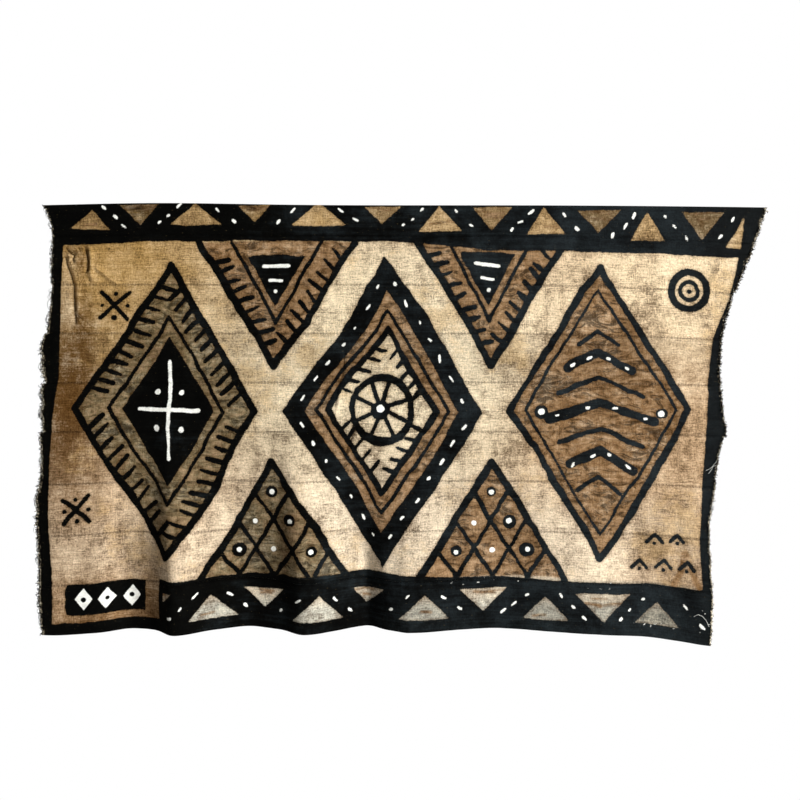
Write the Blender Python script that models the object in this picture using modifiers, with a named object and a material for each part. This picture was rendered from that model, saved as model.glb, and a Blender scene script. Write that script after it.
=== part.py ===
"""Mud cloth wall hanging: nine hand-woven cotton strips, sewn edge to edge and hung by the top edge.

Metres, +Z up, +X to the right, the painted face towards -Y. The origin is at the middle of the top edge,
in the plane of the wall that the folded hem lies on.
"""

import math
from collections import namedtuple

import bmesh
import bpy
from mathutils import Vector

NAME = "mud_cloth"

# Cloth sizes
STRIP_WIDTH = 0.1140
TOP_SHOWN = 0.072
THICKNESS = 0.0012
SEAM_GAP = 0.0003

# The fold of the top strip: half the room between its two layers, and the width that lies behind
TURN_RADIUS = 0.0026
HEM_WIDTH = STRIP_WIDTH - TOP_SHOWN - math.pi * TURN_RADIUS
HEM_PLANE = -THICKNESS / 2
FRONT_PLANE = HEM_PLANE - 2 * TURN_RADIUS

# The hanging cloth leans away from the wall until its folds have room
LEAN = 0.0165
LEAN_DEPTH = 0.62

# The sides that the drops are measured between: the cloth is widest at its top edge, on the right
LEFT_SIDE = -0.845
RIGHT_SIDE = 0.716
TOP_RIGHT_CORNER = 0.845
NARROWED_DEPTH = 0.36

# Mesh density of a strip: steps along it, across it, across the hem and round its fold
STEPS_ALONG = 56
STEPS_ACROSS = 4
STEPS_HEM = 3
STEPS_TURN = 6
SHARP_EDGE = math.radians(40)

# The cut ends of each strip: where they lie at its upper edge, half way and at its lower edge
Ends = namedtuple("Ends", "left_top left_middle left_bottom right_top right_middle right_bottom")
STRIPS = (
    Ends(-0.846, -0.827, -0.821, 0.845, 0.830, 0.816),
    Ends(-0.821, -0.822, -0.821, 0.816, 0.793, 0.766),
    Ends(-0.821, -0.824, -0.829, 0.766, 0.749, 0.736),
    Ends(-0.836, -0.841, -0.829, 0.736, 0.731, 0.731),
    Ends(-0.837, -0.838, -0.833, 0.731, 0.737, 0.743),
    Ends(-0.842, -0.837, -0.840, 0.738, 0.722, 0.716),
    Ends(-0.841, -0.847, -0.843, 0.716, 0.704, 0.701),
    Ends(-0.844, -0.841, -0.840, 0.701, 0.703, 0.707),
    Ends(-0.839, -0.838, -0.829, 0.708, 0.706, 0.701),
)

# How far each edge of a strip hangs below its level place, at the left and at the right side
Drop = namedtuple("Drop", "left right")
DROPS = (
    Drop(0.002, 0.005),
    Drop(0.004, 0.020),
    Drop(0.000, 0.022),
    Drop(0.000, 0.014),
    Drop(0.002, 0.008),
    Drop(0.000, 0.010),
    Drop(0.007, 0.014),
    Drop(0.011, 0.020),
    Drop(0.011, 0.027),
    Drop(0.009, 0.035),
)
LEFT_DROP_ENDS = 0.30
LEFT_DROP_CURVE = 1.3
RIGHT_DROP_STARTS = 0.62
RIGHT_DROP_CURVE = 1.9

# The top edge rises a little between the left corner and the middle
RISE_PLACE = -0.590
RISE_REACH = 0.260
RISE_HEIGHT = 0.0060
RISE_DEPTH = 0.200

# The folds: foot and head are where the fold's line meets the lower edge and where it begins; left and
# right are its half widths; swell is how far it stands out, below zero towards the wall; begins and
# full are depths below the top edge
Fold = namedtuple("Fold", "foot head left right swell begins full")
FOLDS = (
    Fold(-0.800, -0.790, 0.060, 0.085, 0.010, 0.30, 0.95),
    Fold(-0.637, -0.650, 0.045, 0.050, -0.011, 0.42, 0.95),
    Fold(-0.521, -0.540, 0.042, 0.060, 0.019, 0.44, 0.93),
    Fold(-0.358, -0.390, 0.062, 0.052, -0.016, 0.40, 0.95),
    Fold(-0.226, -0.262, 0.040, 0.068, 0.018, 0.46, 0.90),
    Fold(-0.088, -0.110, 0.052, 0.030, -0.015, 0.55, 0.95),
    Fold(0.012, 0.000, 0.034, 0.110, 0.014, 0.60, 0.96),
    Fold(0.215, 0.235, 0.070, 0.080, -0.006, 0.50, 0.95),
    Fold(0.400, 0.360, 0.110, 0.110, 0.006, 0.45, 0.90),
    Fold(0.560, 0.520, 0.060, 0.055, -0.006, 0.50, 0.95),
    Fold(0.695, 0.650, 0.060, 0.060, 0.009, 0.40, 0.96),
    Fold(-0.310, -0.250, 0.160, 0.140, 0.003, 0.04, 0.35),
    Fold(0.330, 0.420, 0.180, 0.140, -0.003, 0.06, 0.40),
)

# A fold that stands out hangs this share of its swell lower than the cloth beside it
FOOT_DROP = 0.22

LOWER_EDGE = TOP_SHOWN + (len(STRIPS) - 1) * STRIP_WIDTH

# Colours of the strips, and their finish: the outer two carry the dark border, the rest are earth dyed
BORDER_TONE = (0.040, 0.036, 0.028)
EARTH_TONE = (0.430, 0.310, 0.180)
CLOTH_ROUGHNESS = 0.92


def ease(start, end, value):
    """Rise smoothly from 0 at start to 1 at end."""
    share = min(1.0, max(0.0, (value - start) / (end - start)))
    return share * share * (3.0 - 2.0 * share)


def edge_depths(number):
    """Depth below the top edge of the upper and the lower edge of a strip, counted from 0."""
    if number == 0:
        return 0.0, TOP_SHOWN
    upper = TOP_SHOWN + (number - 1) * STRIP_WIDTH
    return upper, upper + STRIP_WIDTH


def through_three(top, middle, bottom, share):
    """Curve through three values, at share 0, one half and 1."""
    bow = middle - (top + bottom) / 2
    return top + (bottom - top) * share + 4 * bow * share * (1 - share)


def drop_at(x, depth):
    """How far a point hangs below its level place."""
    if depth < TOP_SHOWN:
        place = depth / TOP_SHOWN
    else:
        place = 1 + (depth - TOP_SHOWN) / STRIP_WIDTH
    row = min(int(place), len(DROPS) - 2)
    share = place - row
    left = DROPS[row].left * (1 - share) + DROPS[row + 1].left * share
    right = DROPS[row].right * (1 - share) + DROPS[row + 1].right * share
    side = TOP_RIGHT_CORNER + (RIGHT_SIDE - TOP_RIGHT_CORNER) * ease(0.0, NARROWED_DEPTH, depth)
    across = (x - LEFT_SIDE) / (side - LEFT_SIDE)
    left_share = max(0.0, 1 - across / LEFT_DROP_ENDS) ** LEFT_DROP_CURVE
    right_share = max(0.0, (across - RIGHT_DROP_STARTS) / (1 - RIGHT_DROP_STARTS)) ** RIGHT_DROP_CURVE
    rise = RISE_HEIGHT * math.exp(-((x - RISE_PLACE) / RISE_REACH) ** 2) * (1 - ease(0.0, RISE_DEPTH, depth))
    return left * left_share + right * right_share - rise


def swell_at(x, depth):
    """How far the folds stand out towards the viewer at a place on the cloth."""
    total = 0.0
    for fold in FOLDS:
        line = fold.head + (fold.foot - fold.head) * ease(fold.begins, LOWER_EDGE, depth)
        reach = fold.left if x < line else fold.right
        total += fold.swell * ease(fold.begins, fold.full, depth) * math.exp(-((x - line) / reach) ** 2)
    return total


def cloth_point(x, depth):
    """Place in space of a point of the hanging cloth, in front of its hem."""
    swell = swell_at(x, depth)
    plane = FRONT_PLANE - LEAN * ease(0.0, LEAN_DEPTH, depth)
    return Vector((x, plane - swell, -depth - drop_at(x, depth) - FOOT_DROP * swell))


def hem_profile():
    """Section of the top strip, from the hem's free edge up, over the fold and down to the first seam.

    Each step is a depth below the top edge and a distance behind the front layer.
    """
    steps = []
    for i in range(STEPS_HEM):
        depth = TURN_RADIUS + HEM_WIDTH * (1 - i / STEPS_HEM)
        steps.append((depth, 2 * TURN_RADIUS))
    for i in range(STEPS_TURN + 1):
        angle = math.pi * i / STEPS_TURN
        steps.append((TURN_RADIUS * (1 - math.sin(angle)), TURN_RADIUS * (1 + math.cos(angle))))
    lowest = TOP_SHOWN - SEAM_GAP / 2
    for i in range(1, STEPS_ACROSS + 1):
        depth = TURN_RADIUS + (lowest - TURN_RADIUS) * i / STEPS_ACROSS
        steps.append((depth, 0.0))
    return steps


def strip_profile(number):
    """Section of a strip: depths below the top edge, each with its distance behind the front layer."""
    if number == 0:
        return hem_profile()
    upper, lower = edge_depths(number)
    upper += SEAM_GAP / 2
    if number < len(STRIPS) - 1:
        lower -= SEAM_GAP / 2
    return [(upper + (lower - upper) * i / STEPS_ACROSS, 0.0) for i in range(STEPS_ACROSS + 1)]


def strip_place(number, along, depth, behind):
    """Place in space of a point of a strip, from its share along the strip and its step of the section."""
    upper, lower = edge_depths(number)
    share = min(1.0, max(0.0, (depth - upper) / (lower - upper)))
    ends = STRIPS[number]
    left = through_three(ends.left_top, ends.left_middle, ends.left_bottom, share)
    right = through_three(ends.right_top, ends.right_middle, ends.right_bottom, share)
    place = cloth_point(left + (right - left) * along, depth)
    hem_share = behind / (2 * TURN_RADIUS)
    place.y += (HEM_PLANE - place.y) * hem_share
    return place


def cloth_material(name, colour):
    """Matt dyed cotton of one colour."""
    material = bpy.data.materials.new(name)
    material.use_nodes = True
    surface = material.node_tree.nodes["Principled BSDF"]
    surface.inputs["Base Color"].default_value = (*colour, 1.0)
    surface.inputs["Roughness"].default_value = CLOTH_ROUGHNESS
    surface.inputs["Metallic"].default_value = 0.0
    material.diffuse_color = (*colour, 1.0)
    return material


def make_strip(number, collection):
    """One woven strip, as a grid that is moved to the hanging shape and given its thickness."""
    name = f"strip_{number + 1}"
    profile = strip_profile(number)
    shape = bmesh.new()
    bmesh.ops.create_grid(shape, x_segments=STEPS_ALONG, y_segments=len(profile) - 1, size=0.5)
    for point in shape.verts:
        along = point.co.x + 0.5
        step = round((0.5 - point.co.y) * (len(profile) - 1))
        depth, behind = profile[step]
        point.co = strip_place(number, along, depth, behind)
    mesh = bpy.data.meshes.new(name)
    shape.to_mesh(mesh)
    shape.free()
    strip = bpy.data.objects.new(name, mesh)
    collection.objects.link(strip)
    wall = strip.modifiers.new("Thickness", "SOLIDIFY")
    wall.thickness = THICKNESS
    wall.offset = 0.0
    outer = number in (0, len(STRIPS) - 1)
    mesh.materials.append(cloth_material(f"{name}_cotton", BORDER_TONE if outer else EARTH_TONE))
    mesh.shade_smooth()
    mesh.set_sharp_from_angle(angle=SHARP_EDGE)
    return strip


def main():
    for old in list(bpy.data.objects):
        bpy.data.objects.remove(old)
    collection = bpy.data.collections.new(NAME)
    bpy.context.scene.collection.children.link(collection)
    for number in range(len(STRIPS)):
        make_strip(number, collection)


main()
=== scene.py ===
"""Mud cloth: nine hand-woven cotton strips, sewn edge to edge, dyed, painted and hung by the top edge.

Run as a script, it hangs the finished cloth in the solids' own shape. Metres, +Z up, the painted face
towards -Y. A place on the cloth is given as x and as its depth below the top edge.
"""

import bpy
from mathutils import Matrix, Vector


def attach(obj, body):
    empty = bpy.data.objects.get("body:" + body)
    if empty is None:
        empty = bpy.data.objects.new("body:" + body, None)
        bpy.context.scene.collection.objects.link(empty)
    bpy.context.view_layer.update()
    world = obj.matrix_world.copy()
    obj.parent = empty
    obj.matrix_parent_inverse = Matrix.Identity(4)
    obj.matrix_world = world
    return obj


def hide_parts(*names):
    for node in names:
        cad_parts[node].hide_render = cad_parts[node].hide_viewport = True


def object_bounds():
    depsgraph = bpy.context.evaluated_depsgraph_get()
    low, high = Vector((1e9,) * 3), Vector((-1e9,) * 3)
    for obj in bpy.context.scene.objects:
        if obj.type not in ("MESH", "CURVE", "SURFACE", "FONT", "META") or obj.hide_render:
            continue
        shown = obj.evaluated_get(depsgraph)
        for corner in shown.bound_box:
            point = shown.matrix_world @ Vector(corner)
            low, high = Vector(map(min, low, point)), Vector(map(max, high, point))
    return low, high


bl_info = {
    "name": "Mud Cloth",
    "version": (1, 0, 0),
    "blender": (4, 5, 0),
    "location": "View3D > Sidebar > Mud Cloth",
    "description": "Weaves, dyes, paints and hangs a mud cloth sewn from nine strips",
    "category": "Object",
}

import math
import random
from collections import namedtuple

import bmesh
import bpy
import numpy as np
from bpy.props import FloatProperty, FloatVectorProperty, IntProperty, PointerProperty
from mathutils import Vector, noise

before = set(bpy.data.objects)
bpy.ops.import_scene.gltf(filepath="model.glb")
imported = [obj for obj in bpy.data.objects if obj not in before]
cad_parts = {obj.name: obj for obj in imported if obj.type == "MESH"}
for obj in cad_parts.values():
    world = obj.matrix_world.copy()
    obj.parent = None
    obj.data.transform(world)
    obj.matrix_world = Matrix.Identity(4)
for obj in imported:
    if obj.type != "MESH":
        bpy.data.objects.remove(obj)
SOLID_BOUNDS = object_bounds()

# The hanging cloth's own sizes, which the solids share
STRIP_WIDTH = 0.1140
TOP_SHOWN = 0.072
THICKNESS = 0.0012
TURN_RADIUS = 0.0026
HEM_WIDTH = STRIP_WIDTH - TOP_SHOWN - math.pi * TURN_RADIUS
HEM_PLANE = -THICKNESS / 2
FRONT_PLANE = HEM_PLANE - 2 * TURN_RADIUS
LEAN = 0.0165
LEAN_DEPTH = 0.62
LEFT_SIDE = -0.845
RIGHT_SIDE = 0.716
TOP_RIGHT_CORNER = 0.845
NARROWED_DEPTH = 0.36

# The cut ends of each strip: where they lie at its upper edge, half way and at its lower edge
Ends = namedtuple("Ends", "left_top left_middle left_bottom right_top right_middle right_bottom")
STRIPS = (
    Ends(-0.846, -0.827, -0.821, 0.845, 0.830, 0.816),
    Ends(-0.821, -0.822, -0.821, 0.816, 0.793, 0.766),
    Ends(-0.821, -0.824, -0.829, 0.766, 0.749, 0.736),
    Ends(-0.836, -0.841, -0.829, 0.736, 0.731, 0.731),
    Ends(-0.837, -0.838, -0.833, 0.731, 0.737, 0.743),
    Ends(-0.842, -0.837, -0.840, 0.738, 0.722, 0.716),
    Ends(-0.841, -0.847, -0.843, 0.716, 0.704, 0.701),
    Ends(-0.844, -0.841, -0.840, 0.701, 0.703, 0.707),
    Ends(-0.839, -0.838, -0.829, 0.708, 0.706, 0.701),
)
STRIP_COUNT = len(STRIPS)
LOWER_EDGE = TOP_SHOWN + (STRIP_COUNT - 1) * STRIP_WIDTH
SEAMS = [TOP_SHOWN + i * STRIP_WIDTH for i in range(STRIP_COUNT - 1)]

# How far each edge of a strip hangs below its level place, at the left and at the right side
Drop = namedtuple("Drop", "left right")
DROPS = (
    Drop(0.002, 0.005),
    Drop(0.004, 0.020),
    Drop(0.000, 0.022),
    Drop(0.000, 0.014),
    Drop(0.002, 0.008),
    Drop(0.000, 0.010),
    Drop(0.007, 0.014),
    Drop(0.011, 0.020),
    Drop(0.011, 0.027),
    Drop(0.009, 0.035),
)
LEFT_DROP_ENDS = 0.30
LEFT_DROP_CURVE = 1.3
RIGHT_DROP_STARTS = 0.62
RIGHT_DROP_CURVE = 1.9
RISE_PLACE = -0.590
RISE_REACH = 0.260
RISE_HEIGHT = 0.0060
RISE_DEPTH = 0.200
FOOT_DROP = 0.22

# The folds: foot and head are where the fold's line meets the lower edge and where it begins; left and
# right are its half widths; swell is how far it stands out; begins and full are depths
Fold = namedtuple("Fold", "foot head left right swell begins full")
FOLDS = (
    Fold(-0.800, -0.790, 0.060, 0.085, 0.010, 0.30, 0.95),
    Fold(-0.637, -0.650, 0.045, 0.050, -0.011, 0.42, 0.95),
    Fold(-0.521, -0.540, 0.042, 0.060, 0.019, 0.44, 0.93),
    Fold(-0.358, -0.390, 0.062, 0.052, -0.016, 0.40, 0.95),
    Fold(-0.226, -0.262, 0.040, 0.068, 0.018, 0.46, 0.90),
    Fold(-0.088, -0.110, 0.052, 0.030, -0.015, 0.55, 0.95),
    Fold(0.012, 0.000, 0.034, 0.110, 0.014, 0.60, 0.96),
    Fold(0.215, 0.235, 0.070, 0.080, -0.006, 0.50, 0.95),
    Fold(0.400, 0.360, 0.110, 0.110, 0.006, 0.45, 0.90),
    Fold(0.560, 0.520, 0.060, 0.055, -0.006, 0.50, 0.95),
    Fold(0.695, 0.650, 0.060, 0.060, 0.009, 0.40, 0.96),
    Fold(-0.310, -0.250, 0.160, 0.140, 0.003, 0.04, 0.35),
    Fold(0.330, 0.420, 0.180, 0.140, -0.003, 0.06, 0.40),
)

# Tighter turns of the cloth within its folds
TIGHT_FOLDS = (
    Fold(-0.530, -0.552, 0.019, 0.038, 0.0056, 0.36, 0.78),
    Fold(-0.572, -0.592, 0.034, 0.019, -0.0042, 0.36, 0.78),
    Fold(-0.238, -0.262, 0.026, 0.046, 0.0036, 0.44, 0.82),
    Fold(-0.284, -0.306, 0.040, 0.026, -0.0036, 0.44, 0.82),
    Fold(-0.036, -0.052, 0.024, 0.042, 0.0040, 0.62, 0.88),
    Fold(-0.066, -0.082, 0.036, 0.026, -0.0034, 0.62, 0.88),
    Fold(-0.690, -0.700, 0.040, 0.030, 0.0030, 0.30, 0.80),
    Fold(-0.452, -0.470, 0.030, 0.030, -0.0020, 0.30, 0.70),
    Fold(0.118, 0.100, 0.040, 0.030, -0.0026, 0.50, 0.90),
    Fold(0.640, 0.620, 0.020, 0.030, -0.0022, 0.55, 0.90),
)

# Creases: the line of each, as places on the cloth, its half width, how far it stands out, and how dark
# the painted shade along its line is, below zero where a painted highlight lightens it instead
Crease = namedtuple("Crease", "line width height dark")
CREASES = (
    Crease(((-0.793, 0.091), (-0.784, 0.107), (-0.770, 0.118), (-0.773, 0.127), (-0.768, 0.141)),
           0.0045, -0.0026, 0.90),
    Crease(((-0.781, 0.100), (-0.766, 0.112), (-0.763, 0.123)), 0.0035, -0.0012, 0.60),
    Crease(((-0.793, 0.106), (-0.764, 0.128), (-0.765, 0.141)), 0.0050, 0.0022, 0.0),
    Crease(((-0.747, 0.091), (-0.743, 0.108), (-0.738, 0.131), (-0.740, 0.152), (-0.746, 0.166)),
           0.0050, -0.0026, 0.95),
    Crease(((-0.739, 0.160), (-0.734, 0.175), (-0.729, 0.188)), 0.0040, -0.0016, 0.55),
    Crease(((-0.762, 0.091), (-0.757, 0.105), (-0.754, 0.117)), 0.0040, -0.0014, 0.60),
    Crease(((-0.733, 0.094), (-0.731, 0.160), (-0.727, 0.183)), 0.0055, 0.0024, 0.0),
    Crease(((-0.793, 0.112), (-0.785, 0.142), (-0.775, 0.166), (-0.769, 0.190), (-0.768, 0.218),
            (-0.767, 0.250), (-0.761, 0.286)), 0.0060, -0.0028, 0.90),
    Crease(((-0.790, 0.118), (-0.767, 0.187), (-0.760, 0.245), (-0.758, 0.286)), 0.0065, 0.0022, 0.0),
    Crease(((-0.729, 0.134), (-0.715, 0.148), (-0.690, 0.168), (-0.659, 0.189)), 0.0060, 0.0026, -0.30),
    Crease(((-0.731, 0.146), (-0.668, 0.198)), 0.0070, -0.0018, 0.0),
    Crease(((-0.767, 0.250), (-0.755, 0.262), (-0.743, 0.271)), 0.0045, -0.0020, 0.70),
    Crease(((-0.131, 0.334), (-0.133, 0.371), (-0.136, 0.399), (-0.147, 0.425), (-0.154, 0.480),
            (-0.166, 0.503)), 0.0042, 0.0012, -0.20),
    Crease(((-0.138, 0.336), (-0.140, 0.371), (-0.143, 0.399), (-0.154, 0.425), (-0.161, 0.478)),
           0.0045, -0.0009, 0.62),
    Crease(((-0.105, 0.510), (-0.112, 0.536), (-0.133, 0.592)), 0.0042, 0.0012, -0.20),
    Crease(((-0.112, 0.508), (-0.119, 0.536), (-0.140, 0.588)), 0.0045, -0.0009, 0.62),
    Crease(((-0.090, 0.800), (-0.085, 0.880), (-0.080, 0.980)), 0.0120, -0.0024, 0.0),
    Crease(((-0.290, 0.720), (-0.283, 0.800), (-0.276, 0.900)), 0.0100, -0.0020, 0.0),
    Crease(((0.742, 0.110), (0.706, 0.190), (0.690, 0.260)), 0.0080, 0.0018, 0.0),
)
CREASE_FADE = 0.016
FAR = 1.0

# Sewing draws the cloth in: a groove along each seam, and small gathers beside it
GROOVE_DEPTH = 0.0009
GROOVE_WIDTH = 0.0030
GATHER_HEIGHT = 0.0006
GATHER_REACH = 0.013
GATHERS_END = 3 * GATHER_REACH
GATHERS_EACH_METRE = 62

# Slackness of hand-woven cloth: waves for each metre across and down, and their height
Slack = namedtuple("Slack", "across down height seed")
SLACKNESS = (
    Slack(6.0, 5.0, 0.0030, 11.0),
    Slack(23.0, 17.0, 0.0010, 23.0),
    Slack(60.0, 42.0, 0.0004, 37.0),
)
SLACK_STARTS = 0.03
SLACK_FULL = 0.30

# At a seam the upper strip's edge laps behind the next strip
LAP = 0.0008
LAP_BEHIND = 0.0013

# The cut ends are ragged: waves for each metre down, and how far they move the ends
Ragged = namedtuple("Ragged", "down reach seed")
RAGGED = (Ragged(38.0, 0.0034, 3.0), Ragged(150.0, 0.0018, 5.0), Ragged(420.0, 0.0010, 7.0))

# The map that holds a strip's colours: its pieces along the strip, and the room between them
MAP_NAME = "OFBake"
MAP_PARTS = 3
MAP_MARGIN = 0.0035
RIM_PITCH = 0.0032


def from_screen(red, green, blue):
    """Scene colour of a colour given as screen values from 0 to 255."""
    values = []
    for value in (red, green, blue):
        share = value / 255
        values.append(share / 12.92 if share <= 0.04045 else ((share + 0.055) / 1.055) ** 2.4)
    return tuple(values)


def colour_property(name, description, screen):
    return FloatVectorProperty(
        name=name, description=description, default=from_screen(*screen), subtype="COLOR", min=0.0, max=1.0)


def length_property(name, description, default, least, most=10.0):
    return FloatProperty(
        name=name, description=description, default=default, min=least, max=most, unit="LENGTH")


def strength_property(name, description, default):
    return FloatProperty(name=name, description=description, default=default, min=0.0)


class MudClothSizes(bpy.types.PropertyGroup):
    """Sizes of the cloth's making that can be changed without changing its shape."""

    mesh_step: length_property("Mesh step", "Between two points of the cloth's mesh", 0.0033, 0.002, 0.02)
    yarn_pitch: length_property("Yarn pitch", "Between two yarns of the weave", 0.00125, 0.0005, 0.005)
    stitch_pitch: length_property("Stitch pitch", "Between two whip stitches of a seam", 0.0076, 0.003, 0.03)
    stitch_width: length_property("Stitch width", "Reach of a stitch across its seam", 0.0052, 0.002, 0.02)
    yarn_radius: length_property("Yarn radius", "Of sewing yarn and loose threads", 0.00032, 0.0001, 0.002)
    fray_pitch: length_property("Fray pitch", "Between two yarns of a cut end", 0.00074, 0.0005, 0.01)
    fray_radius: length_property("Frayed yarn radius", "Of yarns at the cut ends", 0.00075, 0.0001, 0.002)
    seed: IntProperty(name="Hand", description="Changes the unevenness of the painter's hand", default=7)


class MudClothColours(bpy.types.PropertyGroup):
    """Colours of the dyes and paints."""

    gold: colour_property("Gold ground", "Leaf dye in the upper left", (157, 123, 67))
    pale: colour_property("Pale ground", "Leaf dye in the middle", (211, 196, 166))
    tan: colour_property("Tan ground", "Leaf dye at the right", (171, 142, 109))
    light: colour_property("Light ground", "Lightly dyed strips in the upper right", (203, 182, 149))
    dust: colour_property("Dusty ground", "Leaf dye along the bottom", (198, 182, 158))
    # A dark smoky dye, which also serves as the colour of the painted shade and painted shadow along the
    # creases.
    smoke: colour_property("Smoky ground", "Dark wash at the left side", (84, 54, 18))
    wash: colour_property("Brown wash", "Bark dye brushed over the ground", (126, 94, 60))
    dun: colour_property("Dun wash", "Thin mud brushed over the ground", (108, 94, 66))
    window: colour_property("Border ground", "Ground between the border's bars", (158, 130, 88))
    ash: colour_property("Ash ground", "Greyish ground in the lower border", (155, 155, 144))
    mud: colour_property("Black mud", "Fermented mud, thick", (4, 4, 3))
    # Painted sheen: a greyer, bluer black for where the light glances off the mud, towards the right.
    mud_cool: colour_property("Cool black mud", "Fermented mud where it greys", (24, 29, 31))
    white: colour_property("Bleached white", "Marks where the dye was bleached out", (240, 240, 232))
    cream: colour_property("Bare cotton", "Undyed yarn that shows where the cloth frays", (224, 212, 186))


class MudClothStage(bpy.types.PropertyGroup):
    """The floor, the lights and the camera."""

    floor_colour: colour_property("Floor", "Colour of the floor", (236, 234, 230))
    floor_drop: length_property("Floor below the cloth", "From the cloth down to the floor", 1.08, 0.2)
    key_power: strength_property("Key light", "Power of the soft light from the right", 1750.0)
    fill_power: strength_property("Fill light", "Power of the soft light from the left", 14.0)
    back_power: strength_property("Back light", "Power of the soft light behind the cloth", 260.0)
    sky_strength: strength_property("Sky", "Strength of the even light from all round", 0.13)
    camera_distance: length_property("Camera distance", "From the lens to the cloth", 1.4436, 0.2)
    camera_lens: FloatProperty(name="Lens", description="Focal length in millimetres", default=28.0, min=10.0)


def sizes():
    return bpy.context.scene.mud_cloth_sizes


def dye(name):
    """Colour of a dye or paint."""
    return np.array(getattr(bpy.context.scene.mud_cloth_colours, name))


# Shape of the hanging cloth


def ease(start, end, value):
    """Rise smoothly from 0 at start to 1 at end."""
    share = np.clip((value - start) / (end - start), 0.0, 1.0)
    return share * share * (3.0 - 2.0 * share)


def edge_depths(number):
    """Depth below the top edge of the upper and the lower edge of a strip, counted from 0."""
    if number == 0:
        return 0.0, TOP_SHOWN
    upper = TOP_SHOWN + (number - 1) * STRIP_WIDTH
    return upper, upper + STRIP_WIDTH


def through_three(top, middle, bottom, share):
    """Curve through three values, at share 0, one half and 1."""
    bow = middle - (top + bottom) / 2
    return top + (bottom - top) * share + 4 * bow * share * (1 - share)


def drop_at(x, depth):
    """How far a point hangs below its level place."""
    place = np.where(depth < TOP_SHOWN, depth / TOP_SHOWN, 1 + (depth - TOP_SHOWN) / STRIP_WIDTH)
    rows = range(len(DROPS))
    left = np.interp(place, rows, [row.left for row in DROPS])
    right = np.interp(place, rows, [row.right for row in DROPS])
    side = TOP_RIGHT_CORNER + (RIGHT_SIDE - TOP_RIGHT_CORNER) * ease(0.0, NARROWED_DEPTH, depth)
    across = (x - LEFT_SIDE) / (side - LEFT_SIDE)
    left_share = np.clip(1 - across / LEFT_DROP_ENDS, 0.0, None) ** LEFT_DROP_CURVE
    from_start = (across - RIGHT_DROP_STARTS) / (1 - RIGHT_DROP_STARTS)
    right_share = np.clip(from_start, 0.0, None) ** RIGHT_DROP_CURVE
    rise = RISE_HEIGHT * np.exp(-((x - RISE_PLACE) / RISE_REACH) ** 2) * (1 - ease(0.0, RISE_DEPTH, depth))
    return left * left_share + right * right_share - rise


def swell_at(x, depth, folds=FOLDS):
    """How far folds stand out towards the viewer at places on the cloth."""
    total = np.zeros_like(x)
    for fold in folds:
        line = fold.head + (fold.foot - fold.head) * ease(fold.begins, LOWER_EDGE, depth)
        reach = np.where(x < line, fold.left, fold.right)
        total += fold.swell * ease(fold.begins, fold.full, depth) * np.exp(-((x - line) / reach) ** 2)
    return total


def segment_distance(x, depth, start, end):
    """Distance from places to a straight line, and the share along it of the nearest point."""
    run = (end[0] - start[0], end[1] - start[1])
    length_squared = max(run[0] ** 2 + run[1] ** 2, 1e-12)
    share = np.clip(((x - start[0]) * run[0] + (depth - start[1]) * run[1]) / length_squared, 0.0, 1.0)
    return np.hypot(x - start[0] - share * run[0], depth - start[1] - share * run[1]), share


def crease_shown(crease, x, depth):
    """How fully a crease shows at places: it fades towards both of its ends."""
    from_ends = [np.hypot(x - end[0], depth - end[1]) for end in (crease.line[0], crease.line[-1])]
    return ease(0.0, CREASE_FADE, np.minimum(*from_ends))


def crease_at(x, depth):
    """How far the creases stand out."""
    total = np.zeros_like(x)
    for crease in CREASES:
        nearest = np.full_like(x, FAR)
        for start, end in zip(crease.line, crease.line[1:]):
            nearest = np.minimum(nearest, segment_distance(x, depth, start, end)[0])
        total += crease.height * crease_shown(crease, x, depth) * np.exp(-(nearest / crease.width) ** 2)
    return total


def crease_lines(x, depth):
    """Distance from places to the nearest drawn crease, below zero on its right, and how dark its painted
    shade is there.
    """
    nearest = np.full_like(x, FAR)
    dark = np.zeros_like(x)
    for crease in CREASES:
        if crease.dark == 0:
            continue
        darkness = crease.dark * crease_shown(crease, x, depth)
        for start, end in zip(crease.line, crease.line[1:]):
            away = segment_distance(x, depth, start, end)[0]
            turn = (end[0] - start[0]) * (depth - start[1]) - (end[1] - start[1]) * (x - start[0])
            closer = away < np.abs(nearest)
            nearest = np.where(closer, np.where(turn < 0, -away, away), nearest)
            dark = np.where(closer, darkness, dark)
    return nearest, dark


def waves(x, depth, across, down, seed):
    """Smooth unevenness from about -1 to 1, with so many waves for each metre across and down."""
    flat = zip(np.ravel(x * across), np.ravel(depth * down))
    return np.array([noise.noise((a, b, seed)) for a, b in flat]).reshape(np.shape(x))


def relief_at(x, depth):
    """How far slackness, creases and sewing move the cloth towards the viewer."""
    total = crease_at(x, depth) + swell_at(x, depth, TIGHT_FOLDS)
    slack_share = ease(SLACK_STARTS, SLACK_FULL, depth)
    for slack in SLACKNESS:
        total += slack.height * slack_share * waves(x, depth, slack.across, slack.down, slack.seed)
    for number, seam in enumerate(SEAMS):
        away = np.abs(depth - seam)
        if away.min() > GATHERS_END:
            continue
        total -= GROOVE_DEPTH * np.exp(-(away / GROOVE_WIDTH) ** 2)
        gathers = waves(x, np.full_like(x, seam), GATHERS_EACH_METRE, 1.0, number + 0.5)
        total += GATHER_HEIGHT * gathers * np.exp(-(away / GATHER_REACH) ** 2)
    return total


def cloth_places(x, depth, behind=0.0, hem=False):
    """Places in space of points of the cloth. Behind is a distance; the hem's lies in its own plane."""
    swell = swell_at(x, depth)
    plane = FRONT_PLANE - LEAN * ease(0.0, LEAN_DEPTH, depth)
    y = plane - swell - relief_at(x, depth)
    y = y + (behind / (2 * TURN_RADIUS) * (HEM_PLANE - y) if hem else behind)
    z = -depth - drop_at(x, depth) - FOOT_DROP * swell
    return np.stack([x, y, z], axis=-1)


def depth_of(x, z):
    """Depth on the cloth of places in space, found in a few rounds."""
    depth = -z
    for _ in range(4):
        depth = -z - drop_at(x, depth) - FOOT_DROP * swell_at(x, depth)
    return depth


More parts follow.
